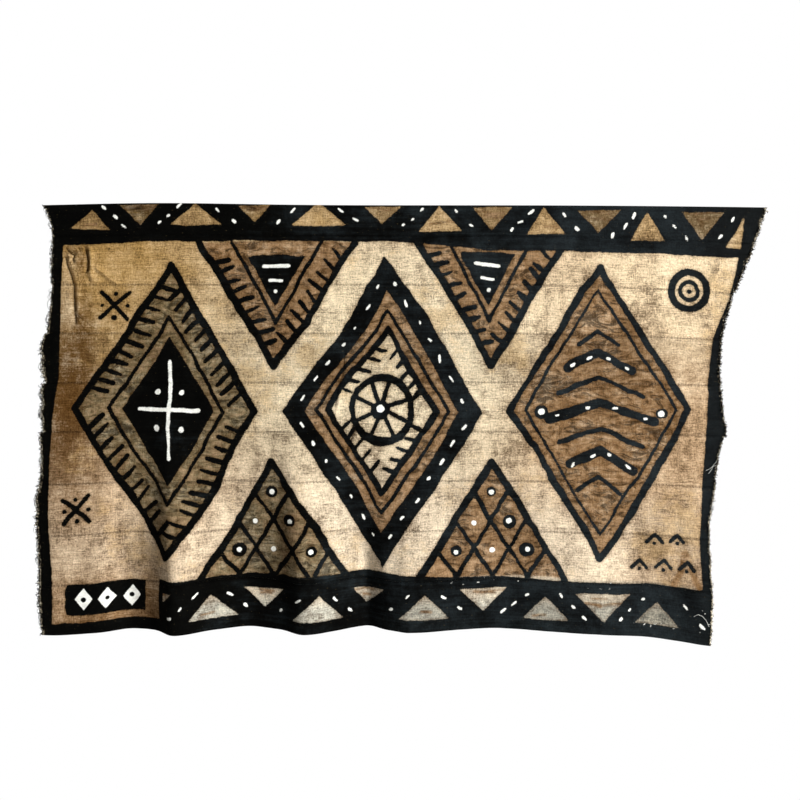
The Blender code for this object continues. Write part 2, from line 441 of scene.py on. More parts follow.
def strip_ends(number, depth):
    """Where a strip's cut ends lie at some depths, ragged edge included."""
    upper, lower = edge_depths(number)
    share = np.clip((depth - upper) / (lower - upper), 0.0, 1.0)
    ends = STRIPS[number]
    left = through_three(ends.left_top, ends.left_middle, ends.left_bottom, share)
    right = through_three(ends.right_top, ends.right_middle, ends.right_bottom, share)
    for ragged in RAGGED:
        left = left + ragged.reach * waves(depth, depth, 0.0, ragged.down, ragged.seed + number)
        right = right + ragged.reach * waves(depth, depth, 0.0, ragged.down, ragged.seed - number)
    return left, right


def cut_end(number, depth, side):
    """Where one cut end of a strip lies, on the left for side -1 and on the right for side 1."""
    return strip_ends(number, depth)[0 if side < 0 else 1]


# The painter's marks


class Mark:
    """A painted shape: a brushed line, or a filled patch with corners. It may cut into what is there."""

    MARGIN = 0.03

    def __init__(self, layer, points, widths=None, cut=False):
        self.layer = layer
        self.points = points
        self.widths = widths
        self.cut = cut
        reach = self.MARGIN + (max(widths) if widths else 0.0)
        self.low = [min(p[i] for p in points) - reach for i in (0, 1)]
        self.high = [max(p[i] for p in points) + reach for i in (0, 1)]

    def near(self, x, depth):
        across = (x > self.low[0]) & (x < self.high[0])
        return np.nonzero(across & (depth > self.low[1]) & (depth < self.high[1]))[0]

    def reach_inside(self, x, depth):
        """How far places lie inside the mark, below zero outside it."""
        if self.widths:
            best = np.full_like(x, -FAR)
            for i in range(len(self.points) - 1):
                away, share = segment_distance(x, depth, self.points[i], self.points[i + 1])
                half = (self.widths[i] + (self.widths[i + 1] - self.widths[i]) * share) / 2
                best = np.maximum(best, half - away)
            return best
        away = np.full_like(x, FAR)
        inside = np.zeros(x.shape, bool)
        for i, end in enumerate(self.points):
            start = self.points[i - 1]
            away = np.minimum(away, segment_distance(x, depth, start, end)[0])
            crosses = (start[1] > depth) != (end[1] > depth)
            rise = (end[1] - start[1]) or 1e-12
            inside ^= crosses & (x < start[0] + (end[0] - start[0]) * (depth - start[1]) / rise)
        return np.where(inside, away, -away)


class Painter:
    """Lays marks in order, each with the small unevenness of a hand-held brush."""

    # A path wanders from its line, and its width swells, by amounts that carry over from step to step
    STEP = 0.017
    DRIFT = 0.0019
    DRIFT_KEPT = 0.80
    SHAKE = 0.0005
    WIDTH_SHAKE = 0.10
    WIDTH_KEPT = 0.60

    # Whole parts of the design are out of place together
    BEND = 0.0152
    BENDS_EACH_METRE = 4.3
    BEND_SEEDS = (5.5, 9.5)

    # A dab is fullest in its middle
    DAB_SHAKE = 0.06
    DAB_START = (0.72, 1.0)
    DAB_END = (0.55, 1.0)

    # The white touches along a bar, as shares of their usual length and width, and how they stray
    TOUCH_LENGTHS = (0.65, 1.20)
    TOUCH_WIDTHS = (0.75, 1.15)
    TOUCH_LONGER = 1.1
    TOUCH_SHAKE = 0.002
    TOUCH_LEAN = 0.22

    def __init__(self, seed):
        self.marks = []
        self.random = random.Random(seed)
        self.bend = 1.0

    def shaken(self, point, amount):
        return (point[0] + self.random.gauss(0, amount), point[1] + self.random.gauss(0, amount))

    def bent(self, point):
        """A place moved with its surroundings, because nothing is drawn with a ruler."""
        x, depth = (value * self.BENDS_EACH_METRE for value in point)
        moves = [self.BEND * self.bend * noise.noise((x, depth, seed)) for seed in self.BEND_SEEDS]
        return (point[0] + moves[0], point[1] + moves[1])

    def drawn(self, corners, closed, shake):
        """The path that the hand follows through some corners."""
        ends = list(corners) + ([corners[0]] if closed else [])
        path = []
        for start, end in zip(ends, ends[1:]):
            steps = max(1, round(math.dist(start, end) / self.STEP))
            path += [between(start, end, i / steps) for i in range(steps)]
        if not closed:
            path.append(ends[-1])
        fresh = self.DRIFT * shake * math.sqrt(1 - self.DRIFT_KEPT ** 2)
        across = down = 0.0
        moved = []
        for point in path:
            across = across * self.DRIFT_KEPT + self.random.gauss(0, fresh)
            down = down * self.DRIFT_KEPT + self.random.gauss(0, fresh)
            x, depth = self.shaken(self.bent(point), self.SHAKE * shake)
            moved.append((x + across, depth + down))
        return moved

    def line(self, layer, points, width, closed=False, end_width=None, shake=1.0):
        """A brushed line through points. It may run thinner or thicker towards its end."""
        path = self.drawn(points, closed, shake)
        if closed:
            path.append(path[0])
        last = width if end_width is None else end_width
        fresh = self.WIDTH_SHAKE * shake * math.sqrt(1 - self.WIDTH_KEPT ** 2)
        load = 0.0
        widths = []
        for i in range(len(path)):
            share = i / (len(path) - 1)
            load = load * self.WIDTH_KEPT + self.random.gauss(0, fresh)
            widths.append((width + (last - width) * share) * (1 + load))
        self.marks.append(Mark(layer, path, widths))

    def patch(self, layer, corners, cut=False, shake=1.0):
        """A filled shape, or one that is cut out of what is there."""
        self.marks.append(Mark(layer, self.drawn(corners, True, shake), None, cut))

    def dab(self, layer, place, length, width, angle=0.0):
        """One short touch of the brush."""
        place = self.bent(place)
        half = max(length - width, 0.0) / 2
        turn = (math.cos(angle) * half, math.sin(angle) * half)
        start = (place[0] - turn[0], place[1] - turn[1])
        end = (place[0] + turn[0], place[1] + turn[1])
        middle = self.shaken(place, width * self.DAB_SHAKE)
        size = width * self.random.gauss(1, self.WIDTH_SHAKE)
        ends = [size * self.random.uniform(*self.DAB_START), size, size * self.random.uniform(*self.DAB_END)]
        self.marks.append(Mark(layer, [start, middle, end], ends))

    def dabs_along(self, start, end, shares, length=0.0172, width=0.0068):
        """White touches along a bar."""
        angle = math.atan2(end[1] - start[1], end[0] - start[0])
        for share in shares:
            place = self.shaken(between(start, end, share), self.TOUCH_SHAKE)
            size = length * self.random.uniform(*self.TOUCH_LENGTHS)
            thick = width * self.random.uniform(*self.TOUCH_WIDTHS)
            size = max(size, thick * self.TOUCH_LONGER)
            self.dab("white", place, size, thick, angle + self.random.gauss(0, self.TOUCH_LEAN))


def between(start, end, share):
    """The place at a share of the way from start to end."""
    return (start[0] + (end[0] - start[0]) * share, start[1] + (end[1] - start[1]) * share)


def round_path(centre, radius, steps, tall=1.0):
    """Corners of a round shape, which may be taller than it is wide."""
    angles = [math.tau * k / steps for k in range(steps)]
    return [(centre[0] + radius * math.cos(a), centre[1] + radius * tall * math.sin(a)) for a in angles]


# The traditional border: a dark band with windows left bare between the legs of its zigzag. The windows of
# one row stand on the border's line, those of the other hang from its edge. Half is half a window's width,
# tip the depth of its tip, and tone the lightness of the ground in it.
Window = namedtuple("Window", "x half tip tone")
Border = namedtuple("Border", "upper start standing foot hanging head ground sags")

# How much lower than its level a border was painted at some places: its upper edge, foot and lower edge
Sag = namedtuple("Sag", "x upper foot line")
TOP_BORDER = Border(
    upper=-0.010, start=-0.90, ground="window",
    standing=(
        Window(-0.734, 0.047, 0.012, 1.02), Window(-0.486, 0.059, 0.000, 1.00),
        Window(-0.201, 0.064, -0.006, 1.02), Window(0.084, 0.050, 0.003, 1.05),
        Window(0.332, 0.046, 0.004, 1.03), Window(0.567, 0.039, 0.014, 1.06),
        Window(0.802, 0.055, 0.009, 0.94),
    ),
    foot=0.058,
    hanging=(
        Window(-0.617, 0.045, 0.049, 0.28), Window(-0.349, 0.037, 0.041, 0.70),
        Window(-0.051, 0.043, 0.042, 0.70), Window(0.208, 0.047, 0.061, 0.70),
        Window(0.453, 0.051, 0.061, 0.40), Window(0.696, 0.050, 0.070, 0.36),
    ),
    head=0.003,
    sags=(
        Sag(-0.757, 0.0, -0.001, 0.002), Sag(-0.640, 0.0, -0.006, -0.002), Sag(-0.480, 0.0, -0.010, -0.005),
        Sag(-0.200, 0.0, -0.010, -0.007), Sag(-0.010, 0.0, -0.003, -0.007), Sag(0.083, 0.0, 0.004, 0.002),
        Sag(0.200, 0.0, 0.007, 0.015), Sag(0.333, 0.0, 0.010, 0.014), Sag(0.566, 0.0, 0.019, 0.014),
        Sag(0.780, 0.0, 0.025, 0.016),
    ),
)
BOTTOM_BORDER = Border(
    upper=0.862, start=-0.566, ground="ash",
    standing=(
        Window(-0.440, 0.053, 0.902, 1.04), Window(-0.198, 0.059, 0.900, 1.22),
        Window(0.045, 0.057, 0.900, 0.72), Window(0.327, 0.053, 0.902, 0.82),
        Window(0.583, 0.048, 0.904, 0.42),
    ),
    foot=0.956,
    hanging=(
        Window(-0.578, 0.046, 0.938, 1.00), Window(-0.327, 0.046, 0.938, 2.00),
        Window(-0.085, 0.036, 0.930, 1.10), Window(0.182, 0.054, 0.944, 1.28),
        Window(0.458, 0.062, 0.956, 0.78), Window(0.742, 0.046, 0.938, 0.80),
    ),
    head=0.892,
    sags=(
        Sag(-0.400, 0.0, 0.0, 0.0), Sag(-0.242, -0.006, 0.0, 0.0), Sag(-0.057, -0.010, 0.0, 0.0),
        Sag(0.130, -0.001, 0.0, 0.0), Sag(0.314, 0.006, 0.0, 0.0), Sag(0.660, 0.005, 0.0, 0.0),
    ),
)
BORDER_END = 0.90
BAND_POINTS = 24
HEAD_SAG = 0.45
LINE_WIDTH = 0.033
END_BAR_WIDTH = 0.013
BELOW_CLOTH = 1.01

# How the hand strays at a window: its corners, its tip and the share of its width
CORNER_STRAYS = 0.0012
TIP_STRAYS = 0.003
HALF_STRAYS = (0.96, 1.04)

# Brown smears in a window: how many stand in each row, and their place, reach, side and width
STANDING_SMEARS = (0, 1)
HANGING_SMEARS = (2, 4)
SMEAR_DEPTHS = (0.02, 0.45)
SMEAR_REACHES = (0.2, 0.7)
SMEAR_SIDES = (-0.4, 0.4)
SMEAR_WIDTHS = (0.003, 0.007)
SMEAR_TILT = 0.002

# White touches on a leg of the zigzag: three ways to space them, the leg's lean and where it starts
TOUCHES = ((0.10, 0.48, 0.86), (0.14, 0.66), (0.24, 0.78))
LEG_LEAN = 0.56
LEG_START = 0.005

# The painted bars down both sides: how far in they reach at some depths
SideBar = namedtuple("SideBar", "depth left right")
SIDE_BARS = (
    SideBar(0.00, -0.780, 0.797),
    SideBar(0.074, -0.779, 0.786),
    SideBar(0.088, -0.795, 0.784),
    SideBar(0.20, -0.798, 0.756),
    SideBar(0.30, -0.798, 0.716),
    SideBar(0.40, -0.797, 0.701),
    SideBar(0.50, -0.811, 0.698),
    SideBar(0.58, -0.815, 0.690),
    SideBar(0.68, -0.815, 0.682),
    SideBar(0.76, -0.814, 0.677),
    SideBar(0.86, -0.809, 0.682),
    SideBar(1.00, -0.804, 0.690),
)
OUTSIDE = 0.10


def at_depth(rows, depth, field):
    """One measure out of rows that give it at some depths."""
    return np.interp(depth, [row.depth for row in rows], [getattr(row, field) for row in rows])


def sagging(border, x, field):
    """One sag of a border at a place."""
    return np.interp(x, [row.x for row in border.sags], [getattr(row, field) for row in border.sags])


def paint_window(painter, border, window, standing):
    """One bare window of a border, with smears of brown in it."""
    hand = painter.random
    sag = sagging(border, window.x, "foot")
    level = border.foot + sag if standing else border.head + max(0.0, sag) * HEAD_SAG
    left = (window.x - window.half * hand.uniform(*HALF_STRAYS), level + hand.gauss(0, CORNER_STRAYS))
    tip = (window.x + hand.gauss(0, TIP_STRAYS), window.tip)
    right = (window.x + window.half * hand.uniform(*HALF_STRAYS), level + hand.gauss(0, CORNER_STRAYS))
    painter.patch("ink", [left, tip, right], cut=True, shake=0.55)
    for _ in range(hand.randint(*(STANDING_SMEARS if standing else HANGING_SMEARS))):
        depth = level + (window.tip - level) * hand.uniform(*SMEAR_DEPTHS)
        reach = window.half * hand.uniform(*SMEAR_REACHES)
        x = window.x + window.half * hand.uniform(*SMEAR_SIDES)
        smear = [(x - reach, depth), (x + reach, depth + hand.gauss(0, SMEAR_TILT))]
        painter.line("wash", smear, hand.uniform(*SMEAR_WIDTHS), shake=1.6)


def paint_border(painter, border):
    """One border band, with white touches on its legs."""
    places = np.linspace(border.start, BORDER_END, BAND_POINTS)
    above = [(x, border.upper + sagging(border, x, "upper")) for x in places]
    below = [(x, border.foot + LINE_WIDTH + sagging(border, x, "line")) for x in places]
    painter.patch("ink", above + below[::-1], shake=0.6)
    for window in border.standing:
        paint_window(painter, border, window, True)
    for window in border.hanging:
        paint_window(painter, border, window, False)
    turns = [(window.x, True) for window in border.standing]
    turns += [(window.x, False) for window in border.hanging]
    turns.sort()
    lean = (border.foot - border.head) * LEG_LEAN
    for (x, falling), (next_x, _) in zip(turns, turns[1:]):
        middle = (x + next_x) / 2
        side = lean if falling else -lean
        sag = sagging(border, middle, "foot")
        start = (middle - side, border.head + LEG_START + sag * HEAD_SAG)
        painter.dabs_along(start, (middle + side, border.foot + sag), painter.random.choice(TOUCHES))


def paint_end_bar(painter):
    """The bar that closes the lower border, and the line that runs on below it to the left."""
    x = BOTTOM_BORDER.start + END_BAR_WIDTH / 2
    painter.line("ink", [(x, BOTTOM_BORDER.upper + 0.008), (x, 1.0)], END_BAR_WIDTH, shake=0.5)
    foot = BOTTOM_BORDER.foot
    line = [(LEFT_SIDE, foot + 0.001), (x, foot), (x, BELOW_CLOTH), (LEFT_SIDE, BELOW_CLOTH)]
    painter.patch("ink", line, shake=0.6)


def paint_side_bars(painter):
    """Dark bars down both sides, from the painted line out past the cut ends."""
    for side, edge in (("left", LEFT_SIDE - OUTSIDE), ("right", TOP_RIGHT_CORNER + OUTSIDE)):
        inner = [(getattr(row, side), row.depth) for row in SIDE_BARS]
        painter.patch("ink", inner + [(edge, 1.0), (edge, 0.0)], shake=0.4)


# The middle of the cloth: three great lozenges, triangles between them and smaller signs round them
FIELD_TOP = 0.088
FIELD_BOTTOM = 0.866
Lozenge = namedtuple("Lozenge", "x depth half_width half_height wash")
LOZENGES = (
    Lozenge(-0.548, 0.478, 0.206, 0.338, "dun"),
    Lozenge(-0.046, 0.480, 0.222, 0.348, "wash"),
    Lozenge(0.450, 0.474, 0.200, 0.336, "wash"),
)
GAP_PLACES = (-0.300, 0.203)
BROAD = 0.0165
FINE = 0.0088
WHEEL_TALL = 1.12
SPOKES = 8
HATCH_LEAN = 1.32
HATCH_MIDDLE = 0.46


def lozenge_corners(lozenge, scale=1.0):
    """Corners of a lozenge, from the left one round over the top."""
    x, depth = lozenge.x, lozenge.depth
    width, height = lozenge.half_width * scale, lozenge.half_height * scale
    return [(x - width, depth), (x, depth - height), (x + width, depth), (x, depth + height)]


def paint_hatching(painter, path, centre, length, pitch=0.029, width=0.0120):
    """Comma strokes that stand side by side along a line, on the side of a place, all leaning one way."""
    hand = painter.random
    sizes_vary = (0.85, 1.12)
    for start, end in zip(path, path[1:]):
        run = (end[0] - start[0], end[1] - start[1])
        turn = run[0] * (centre[1] - start[1]) - run[1] * (centre[0] - start[0])
        count = max(2, round(math.dist(start, end) / pitch))
        for step in range(2, count - 1):
            root = between(start, end, (step + hand.gauss(0, 0.06)) / count)
            angle = math.atan2(run[1], run[0]) + math.copysign(HATCH_LEAN, turn) + hand.gauss(0, 0.08)
            size = length * hand.uniform(*sizes_vary)
            reach = size * HATCH_MIDDLE
            place = (root[0] + math.cos(angle) * reach, root[1] + math.sin(angle) * reach)
            painter.dab("ink", place, size, width * hand.uniform(*sizes_vary), angle)


def paint_left_lozenge(painter, lozenge):
    """Hatched outline round a dark lozenge that bears a white cross."""
    line_scale, heart_scale, hatching_length = 0.64, 0.51, 0.052
    arm_from, arm_to, arm_width = 0.17, 0.83, 0.0092
    spot_across, spot_down, spot_length, spot_width = 0.028, 0.044, 0.017, 0.013
    corners = lozenge_corners(lozenge)
    painter.patch(lozenge.wash, corners)
    painter.line("ink", corners, BROAD, closed=True)
    paint_hatching(painter, corners + corners[:1], (lozenge.x, lozenge.depth), hatching_length)
    painter.line("ink", lozenge_corners(lozenge, line_scale), FINE, closed=True)
    heart = lozenge_corners(lozenge, heart_scale)
    painter.patch("ink", heart)
    for start, end in ((heart[0], heart[2]), (heart[1], heart[3])):
        painter.line("white", [between(start, end, arm_from), between(start, end, arm_to)], arm_width)
    for across, down in ((-1, -1), (1, -1), (-1, 1), (1, 1)):
        place = (lozenge.x + across * spot_across, lozenge.depth + down * spot_down)
        painter.dab("white", place, spot_length, spot_width, painter.random.uniform(0, 3))


def paint_middle_lozenge(painter, lozenge):
    """Broad dark band with white touches, round a wheel."""
    band_outside, band_inside, wash_scale, touches_scale = 1.03, 0.79, 0.84, 0.91
    line_scale, inner_scale, inner_width = 0.67, 0.55, 0.0145
    centre = (lozenge.x, lozenge.depth)
    painter.patch("ink", lozenge_corners(lozenge, band_outside))
    painter.patch("ink", lozenge_corners(lozenge, band_inside), cut=True)
    painter.patch(lozenge.wash, lozenge_corners(lozenge, wash_scale))
    ring = lozenge_corners(lozenge, touches_scale)
    for i, end in enumerate(ring):
        painter.dabs_along(ring[i - 1], end, [0.09 + 0.135 * k for k in range(7)])
    painter.line("ink", lozenge_corners(lozenge, line_scale), FINE, closed=True)
    inner = lozenge_corners(lozenge, inner_scale)
    painter.patch("wash", inner, cut=True)
    painter.line("ink", inner, inner_width, closed=True)
    paint_hatching(painter, inner + inner[:1], centre, 0.036, 0.028, 0.0105)
    paint_wheel(painter, centre)


def paint_wheel(painter, centre):
    """A wheel with a white-eyed hub."""
    hub, rim, hollow, steps = 0.024, 0.074, 0.80, 20
    painter.patch("ink", round_path(centre, rim, steps, WHEEL_TALL))
    painter.patch("ink", round_path(centre, rim * hollow, steps, WHEEL_TALL), cut=True, shake=0.6)
    painter.dab("ink", centre, 2 * hub, 2 * hub)
    painter.dab("white", centre, 0.023, 0.019)
    for k in range(SPOKES):
        angle = math.tau * (k + 0.5 + painter.random.gauss(0, 0.06)) / SPOKES
        out = (math.cos(angle), WHEEL_TALL * math.sin(angle))
        root = (centre[0] + out[0] * hub * 0.6, centre[1] + out[1] * hub * 0.6)
        tip = (centre[0] + out[0] * rim * 0.9, centre[1] + out[1] * rim * 0.9)
        painter.line("ink", [root, tip], 0.0100, shake=0.6)


def paint_right_lozenge(painter, lozenge):
    """Nested lozenges crossed by stacked chevrons."""
    line_scale, line_width = 0.84, 0.0075
    bars, first_bar, bar_pitch, bar_half, bar_rise = 7, -0.184, 0.056, 0.116, 0.036
    thick_bar, thin_bar = 0.021675, 0.01105
    corners = lozenge_corners(lozenge)
    painter.patch(lozenge.wash, corners)
    painter.line("ink", corners, BROAD, closed=True)
    painter.line("ink", lozenge_corners(lozenge, line_scale), line_width, closed=True)
    for step in range(bars):
        depth = lozenge.depth + first_bar + step * bar_pitch
        half = bar_half * (1 - abs(step - bars // 2) / 5.0)
        foot = depth + bar_rise
        bar = [(lozenge.x - half, foot), (lozenge.x, depth), (lozenge.x + half, foot)]
        painter.line("ink", bar, thick_bar if step % 2 else thin_bar, shake=1.2)
        if step % 2:
            for end in (bar[0], bar[2]):
                painter.dabs_along(end, bar[1], (0.18, 0.72), 0.017, 0.0072)
    for side in (-1, 1):
        place = (lozenge.x + side * 0.132, lozenge.depth + 0.004)
        painter.dab("ink", place, 0.034, 0.030)
        painter.dab("white", place, 0.015, 0.013)


def paint_hanging_triangle(painter, x, half=0.178, tip=0.374):
    """A washed triangle that hangs from the upper border, with a dark one inside it."""
    under_border, line_top = FIELD_TOP - 0.008, FIELD_TOP - 0.006
    heart_top, heart_tall, heart_half = FIELD_TOP + 0.030, 0.120, 0.066
    sides = [(x - half, under_border), (x, tip), (x + half, under_border)]
    painter.patch("wash", [sides[0], sides[2], sides[1]])
    painter.line("ink", sides, BROAD)
    paint_hatching(painter, sides, (x, FIELD_TOP + 0.050), 0.044, 0.029)
    heart = [(x - heart_half, heart_top), (x + heart_half, heart_top), (x, heart_top + heart_tall)]
    painter.patch("ink", heart)
    for share, spread in ((0.20, 0.028), (0.48, 0.014)):
        depth = heart_top + heart_tall * share
        painter.line("white", [(x - spread, depth), (x + spread, depth + 0.002)], 0.0078, shake=0.6)
    painter.dab("white", (x, FIELD_TOP + 0.114), 0.011, 0.010)
    line = [(x - 0.102, line_top), (x, FIELD_TOP + 0.186), (x + 0.102, line_top)]
    painter.line("ink", line, FINE, shake=0.8)


def paint_standing_triangle(painter, x, wash, half=0.172, tip=0.592):
    """A washed triangle that stands on the lower border, filled with a net."""
    left, top, right = (x - half, FIELD_BOTTOM), (x, tip), (x + half, FIELD_BOTTOM)
    painter.patch(wash, [left, top, right])
    painter.line("ink", [left, top, right], BROAD)
    strands = 4
    for strand in range(1, strands):
        share = strand / strands
        foot = between(left, right, share)
        painter.line("ink", [foot, between(top, right, share)], 0.0102, shake=1.1)
        painter.line("ink", [foot, between(top, left, 1 - share)], 0.0102, shake=1.1)
    for row in range(1, strands):
        for column in range(row):
            across = (column - (row - 1) / 2) / strands
            place = (x + across * 2 * half, tip + (FIELD_BOTTOM - tip) * (row + 0.04) / strands)
            if (row + column) % 2:
                painter.dab("ink", place, 0.030, 0.027)
            painter.dab("white", place, 0.0145, 0.0125)


def paint_ring(painter, place, radius):
    """Two rings round a spot."""
    for size, width in ((radius, 0.0165), (radius * 0.50, 0.0100)):
        painter.line("ink", round_path(place, size, 26), width, closed=True, shake=0.5)
    painter.dab("ink", place, 0.018, 0.016)


def paint_cross(painter, place, size):
    """A slanting cross with a dot in each of its angles."""
    for side in (-1, 1):
        start = (place[0] - size, place[1] - side * size)
        end = (place[0] + size, place[1] + side * size)
        painter.line("ink", [start, end], 0.0105)
    for across, down in ((-1, 0), (1, 0), (0, -1), (0, 1)):
        painter.dab("ink", (place[0] + across * size * 0.9, place[1] + down * size * 0.9), 0.014, 0.0115)


def paint_chevron(painter, place, size):
    """A small chevron with a dot below it."""
    x, depth = place
    feet = depth + size * 0.5
    painter.line("ink", [(x - size, feet), (x, depth - size * 0.6), (x + size, feet)], 0.0085, shake=0.8)
    painter.dab("ink", (x, depth + size * 0.7), 0.0105, 0.0090)


def paint_white_row(painter, x, depth, count, pitch=0.052):
    """A dark block with a row of white lozenges, each with a dark heart."""
    half = count * pitch / 2 + 0.010
    tall = 0.036
    painter.patch("ink", [(x - half, depth - tall), (x + half, depth - tall),
                          (x + half, depth + tall), (x - half, depth + tall)])
    wide, tall = 0.0205, 0.026
    for step in range(count):
        middle = x + (step - (count - 1) / 2) * pitch
        tilt = painter.random.gauss(0, 0.002)
        painter.patch("white", [(middle - wide, depth + tilt), (middle + tilt, depth - tall),
                                (middle + wide, depth - tilt), (middle - tilt, depth + tall)], shake=0.5)
        painter.dab("slit", (middle, depth), 0.0125, 0.0105)


# Where the black is chipped, with its number of flecks, and where bark dye has run
Chips = namedtuple("Chips", "x depth across down count")
CHIPS = (
    Chips(0.179, 0.872, 0.030, 0.0050, 14),
    Chips(0.572, 0.954, 0.020, 0.0040, 16),
    Chips(0.690, 0.930, 0.008, 0.0250, 12),
    Chips(0.470, 0.880, 0.060, 0.0060, 8),
)
STAINS = (
    ((0.640, 0.796), (0.630, 0.830), (0.620, 0.860)),
    ((0.654, 0.822), (0.664, 0.848), (0.674, 0.864)),
)


def paint_wear(painter):
    """Flecks where the black has chipped, and brown stains."""
    hand = painter.random
    for chips in CHIPS:
        for _ in range(chips.count):
            place = (hand.gauss(chips.x, chips.across), hand.gauss(chips.depth, chips.down))
            length, width = hand.uniform(0.002, 0.007), hand.uniform(0.0014, 0.0026)
            painter.dab("white", place, length, width, hand.uniform(-0.6, 0.6))
    for stain in STAINS:
        painter.line("wash", stain, 0.017, end_width=0.013, shake=1.5)


def paint_field(painter):
    """The middle of the cloth."""
    for x in GAP_PLACES:
        paint_hanging_triangle(painter, x)
    for x, wash in zip(GAP_PLACES, ("dun", "wash")):
        paint_standing_triangle(painter, x, wash)
    left, middle, right = LOZENGES
    paint_left_lozenge(painter, left)
    paint_middle_lozenge(painter, middle)
    paint_right_lozenge(painter, right)
    paint_cross(painter, (-0.672, 0.232), 0.031)
    paint_ring(painter, (0.655, 0.190), 0.043)
    paint_cross(painter, (-0.748, 0.700), 0.028)
    for row in range(2):
        for column in range(3 - row):
            place = (0.540 + 0.050 * column + 0.026 * row, 0.820 - 0.062 * row)
            paint_chevron(painter, place, 0.0165)


def paint_cloth():
    """The whole painting, in the order in which it was laid."""
    painter = Painter(sizes().seed)
    paint_field(painter)
    painter.bend = 0.12
    paint_border(painter, BOTTOM_BORDER)
    paint_end_bar(painter)
    paint_white_row(painter, -0.686, 0.904, 3)
    paint_border(painter, TOP_BORDER)
    paint_side_bars(painter)
    paint_wear(painter)
    return painter.marks


LAYERS = ("ink", "white", "slit", "dun", "wash")
PAINTING = []


def painted_layers(x, depth):
    """How far places lie inside the paint of each layer, below zero outside it."""
    if not PAINTING:
        PAINTING.extend(paint_cloth())
    layers = {name: np.full(x.shape, -Mark.MARGIN) for name in LAYERS}
    for mark in PAINTING:
        near = mark.near(x, depth)
        if near.size == 0:
            continue
        layer = layers[mark.layer]
        inside = mark.reach_inside(x[near], depth[near])
        layer[near] = np.minimum(layer[near], -inside) if mark.cut else np.maximum(layer[near], inside)
    return layers


# Dyes of the ground, with some patches of painted shade among them: where each is strongest and how far it
# spreads
Dye = namedtuple("Dye", "colour x depth across down strength")
DYES = (
    Dye("gold", -0.62, 0.18, 0.34, 0.20, 1.6),
    Dye("pale", -0.22, 0.34, 0.30, 0.26, 1.3),
    Dye("pale", 0.05, 0.38, 0.30, 0.20, 1.4),
    Dye("light", 0.66, 0.20, 0.20, 0.12, 2.6),
    Dye("tan", 0.55, 0.52, 0.24, 0.20, 1.8),
    Dye("tan", -0.50, 0.70, 0.22, 0.14, 0.8),
    Dye("dust", -0.14, 0.78, 0.42, 0.13, 2.2),
    Dye("dust", 0.42, 0.80, 0.32, 0.10, 1.6),
    # The smoky band down the left side is partly dye and partly painted shade.
    Dye("smoke", -0.775, 0.42, 0.045, 0.16, 5.0),
    Dye("smoke", -0.745, 0.32, 0.022, 0.08, 2.4),
    Dye("wash", -0.735, 0.62, 0.050, 0.12, 0.8),
    Dye("wash", -0.62, 0.93, 0.07, 0.05, 0.8),
    Dye("wash", -0.70, 0.91, 0.13, 0.06, 1.1),
    Dye("wash", 0.62, 0.83, 0.12, 0.07, 1.6),
    # Painted shade: smoky patches where the creases of the upper left corner cast their shadow.
    Dye("smoke", -0.753, 0.122, 0.012, 0.036, 3.0),
    Dye("smoke", -0.774, 0.106, 0.013, 0.016, 1.2),
    Dye("light", -0.786, 0.215, 0.016, 0.055, 1.4),
    Dye("smoke", -0.69, 0.962, 0.10, 0.018, 1.5),
    Dye("wash", -0.590, 0.90, 0.022, 0.060, 2.2),
)
BASE_DYE = ("tan", 0.25)

# How fully the border's ground and the washes cover the dyes, and where the lower border turns to ash
BORDER_GROUND = 0.85
WASH_COVER = 0.92
ASH_ABOVE = 0.45
ASH_STARTS = 0.900
ASH_FULL = 0.932

# Each strip took the dye a little differently: its lightness at the left and at the right side
Tone = namedtuple("Tone", "left right")
STRIP_TONES = (
    Tone(0.97, 0.98),
    Tone(1.03, 1.06),
    Tone(1.00, 1.10),
    Tone(0.93, 0.84),
    Tone(1.02, 0.92),
    Tone(0.97, 0.96),
    Tone(1.03, 0.98),
    Tone(0.98, 1.04),
    Tone(1.03, 0.80),
)


def ground_colours(x, depth, layers, number):
    """Colours of the dyed ground at places on a strip, washes included."""
    name, strength = BASE_DYE
    total = np.full(x.shape, strength)
    mixed = np.outer(total, dye(name))
    for spread in DYES:
        away = ((x - spread.x) / spread.across) ** 2 + ((depth - spread.depth) / spread.down) ** 2
        weight = spread.strength * np.exp(-away)
        mixed += np.outer(weight, dye(spread.colour))
        total = total + weight
    mixed /= total[:, None]
    shade = np.ones_like(x)
    for border in (TOP_BORDER, BOTTOM_BORDER):
        below_foot = depth - border.foot - sagging(border, x, "foot")
        inside = ease(border.upper - 0.004, border.upper + 0.004, depth)
        inside = inside * (1 - ease(0.004, 0.012, below_foot)) * ease(border.start, border.start + 0.01, x)
        if border is BOTTOM_BORDER:
            inside = inside * (ASH_ABOVE + (1 - ASH_ABOVE) * ease(ASH_STARTS, ASH_FULL, depth))
        mixed += (dye(border.ground) - mixed) * (inside * BORDER_GROUND)[:, None]
        for window in border.standing + border.hanging:
            share = inside * (1 - ease(window.half - 0.002, window.half + 0.004, np.abs(x - window.x)))
            shade *= 1 + (window.tone - 1) * share
    for wash in ("dun", "wash"):
        mixed += (dye(wash) - mixed) * (ease(-0.002, 0.002, layers[wash]) * WASH_COVER)[:, None]
    tone = STRIP_TONES[number]
    across = np.clip((x - LEFT_SIDE) / (RIGHT_SIDE - LEFT_SIDE), 0.0, 1.0)
    return mixed * (shade * (tone.left + (tone.right - tone.left) * across))[:, None]


def set_attribute(mesh, name, kind, values):
    """Store values on a mesh's points, for the materials."""
    attribute = mesh.attributes.new(name, kind, "POINT")
    field = "color" if kind == "FLOAT_COLOR" else "vector"
    attribute.data.foreach_set(field, np.ascontiguousarray(values, dtype=np.float32).ravel())


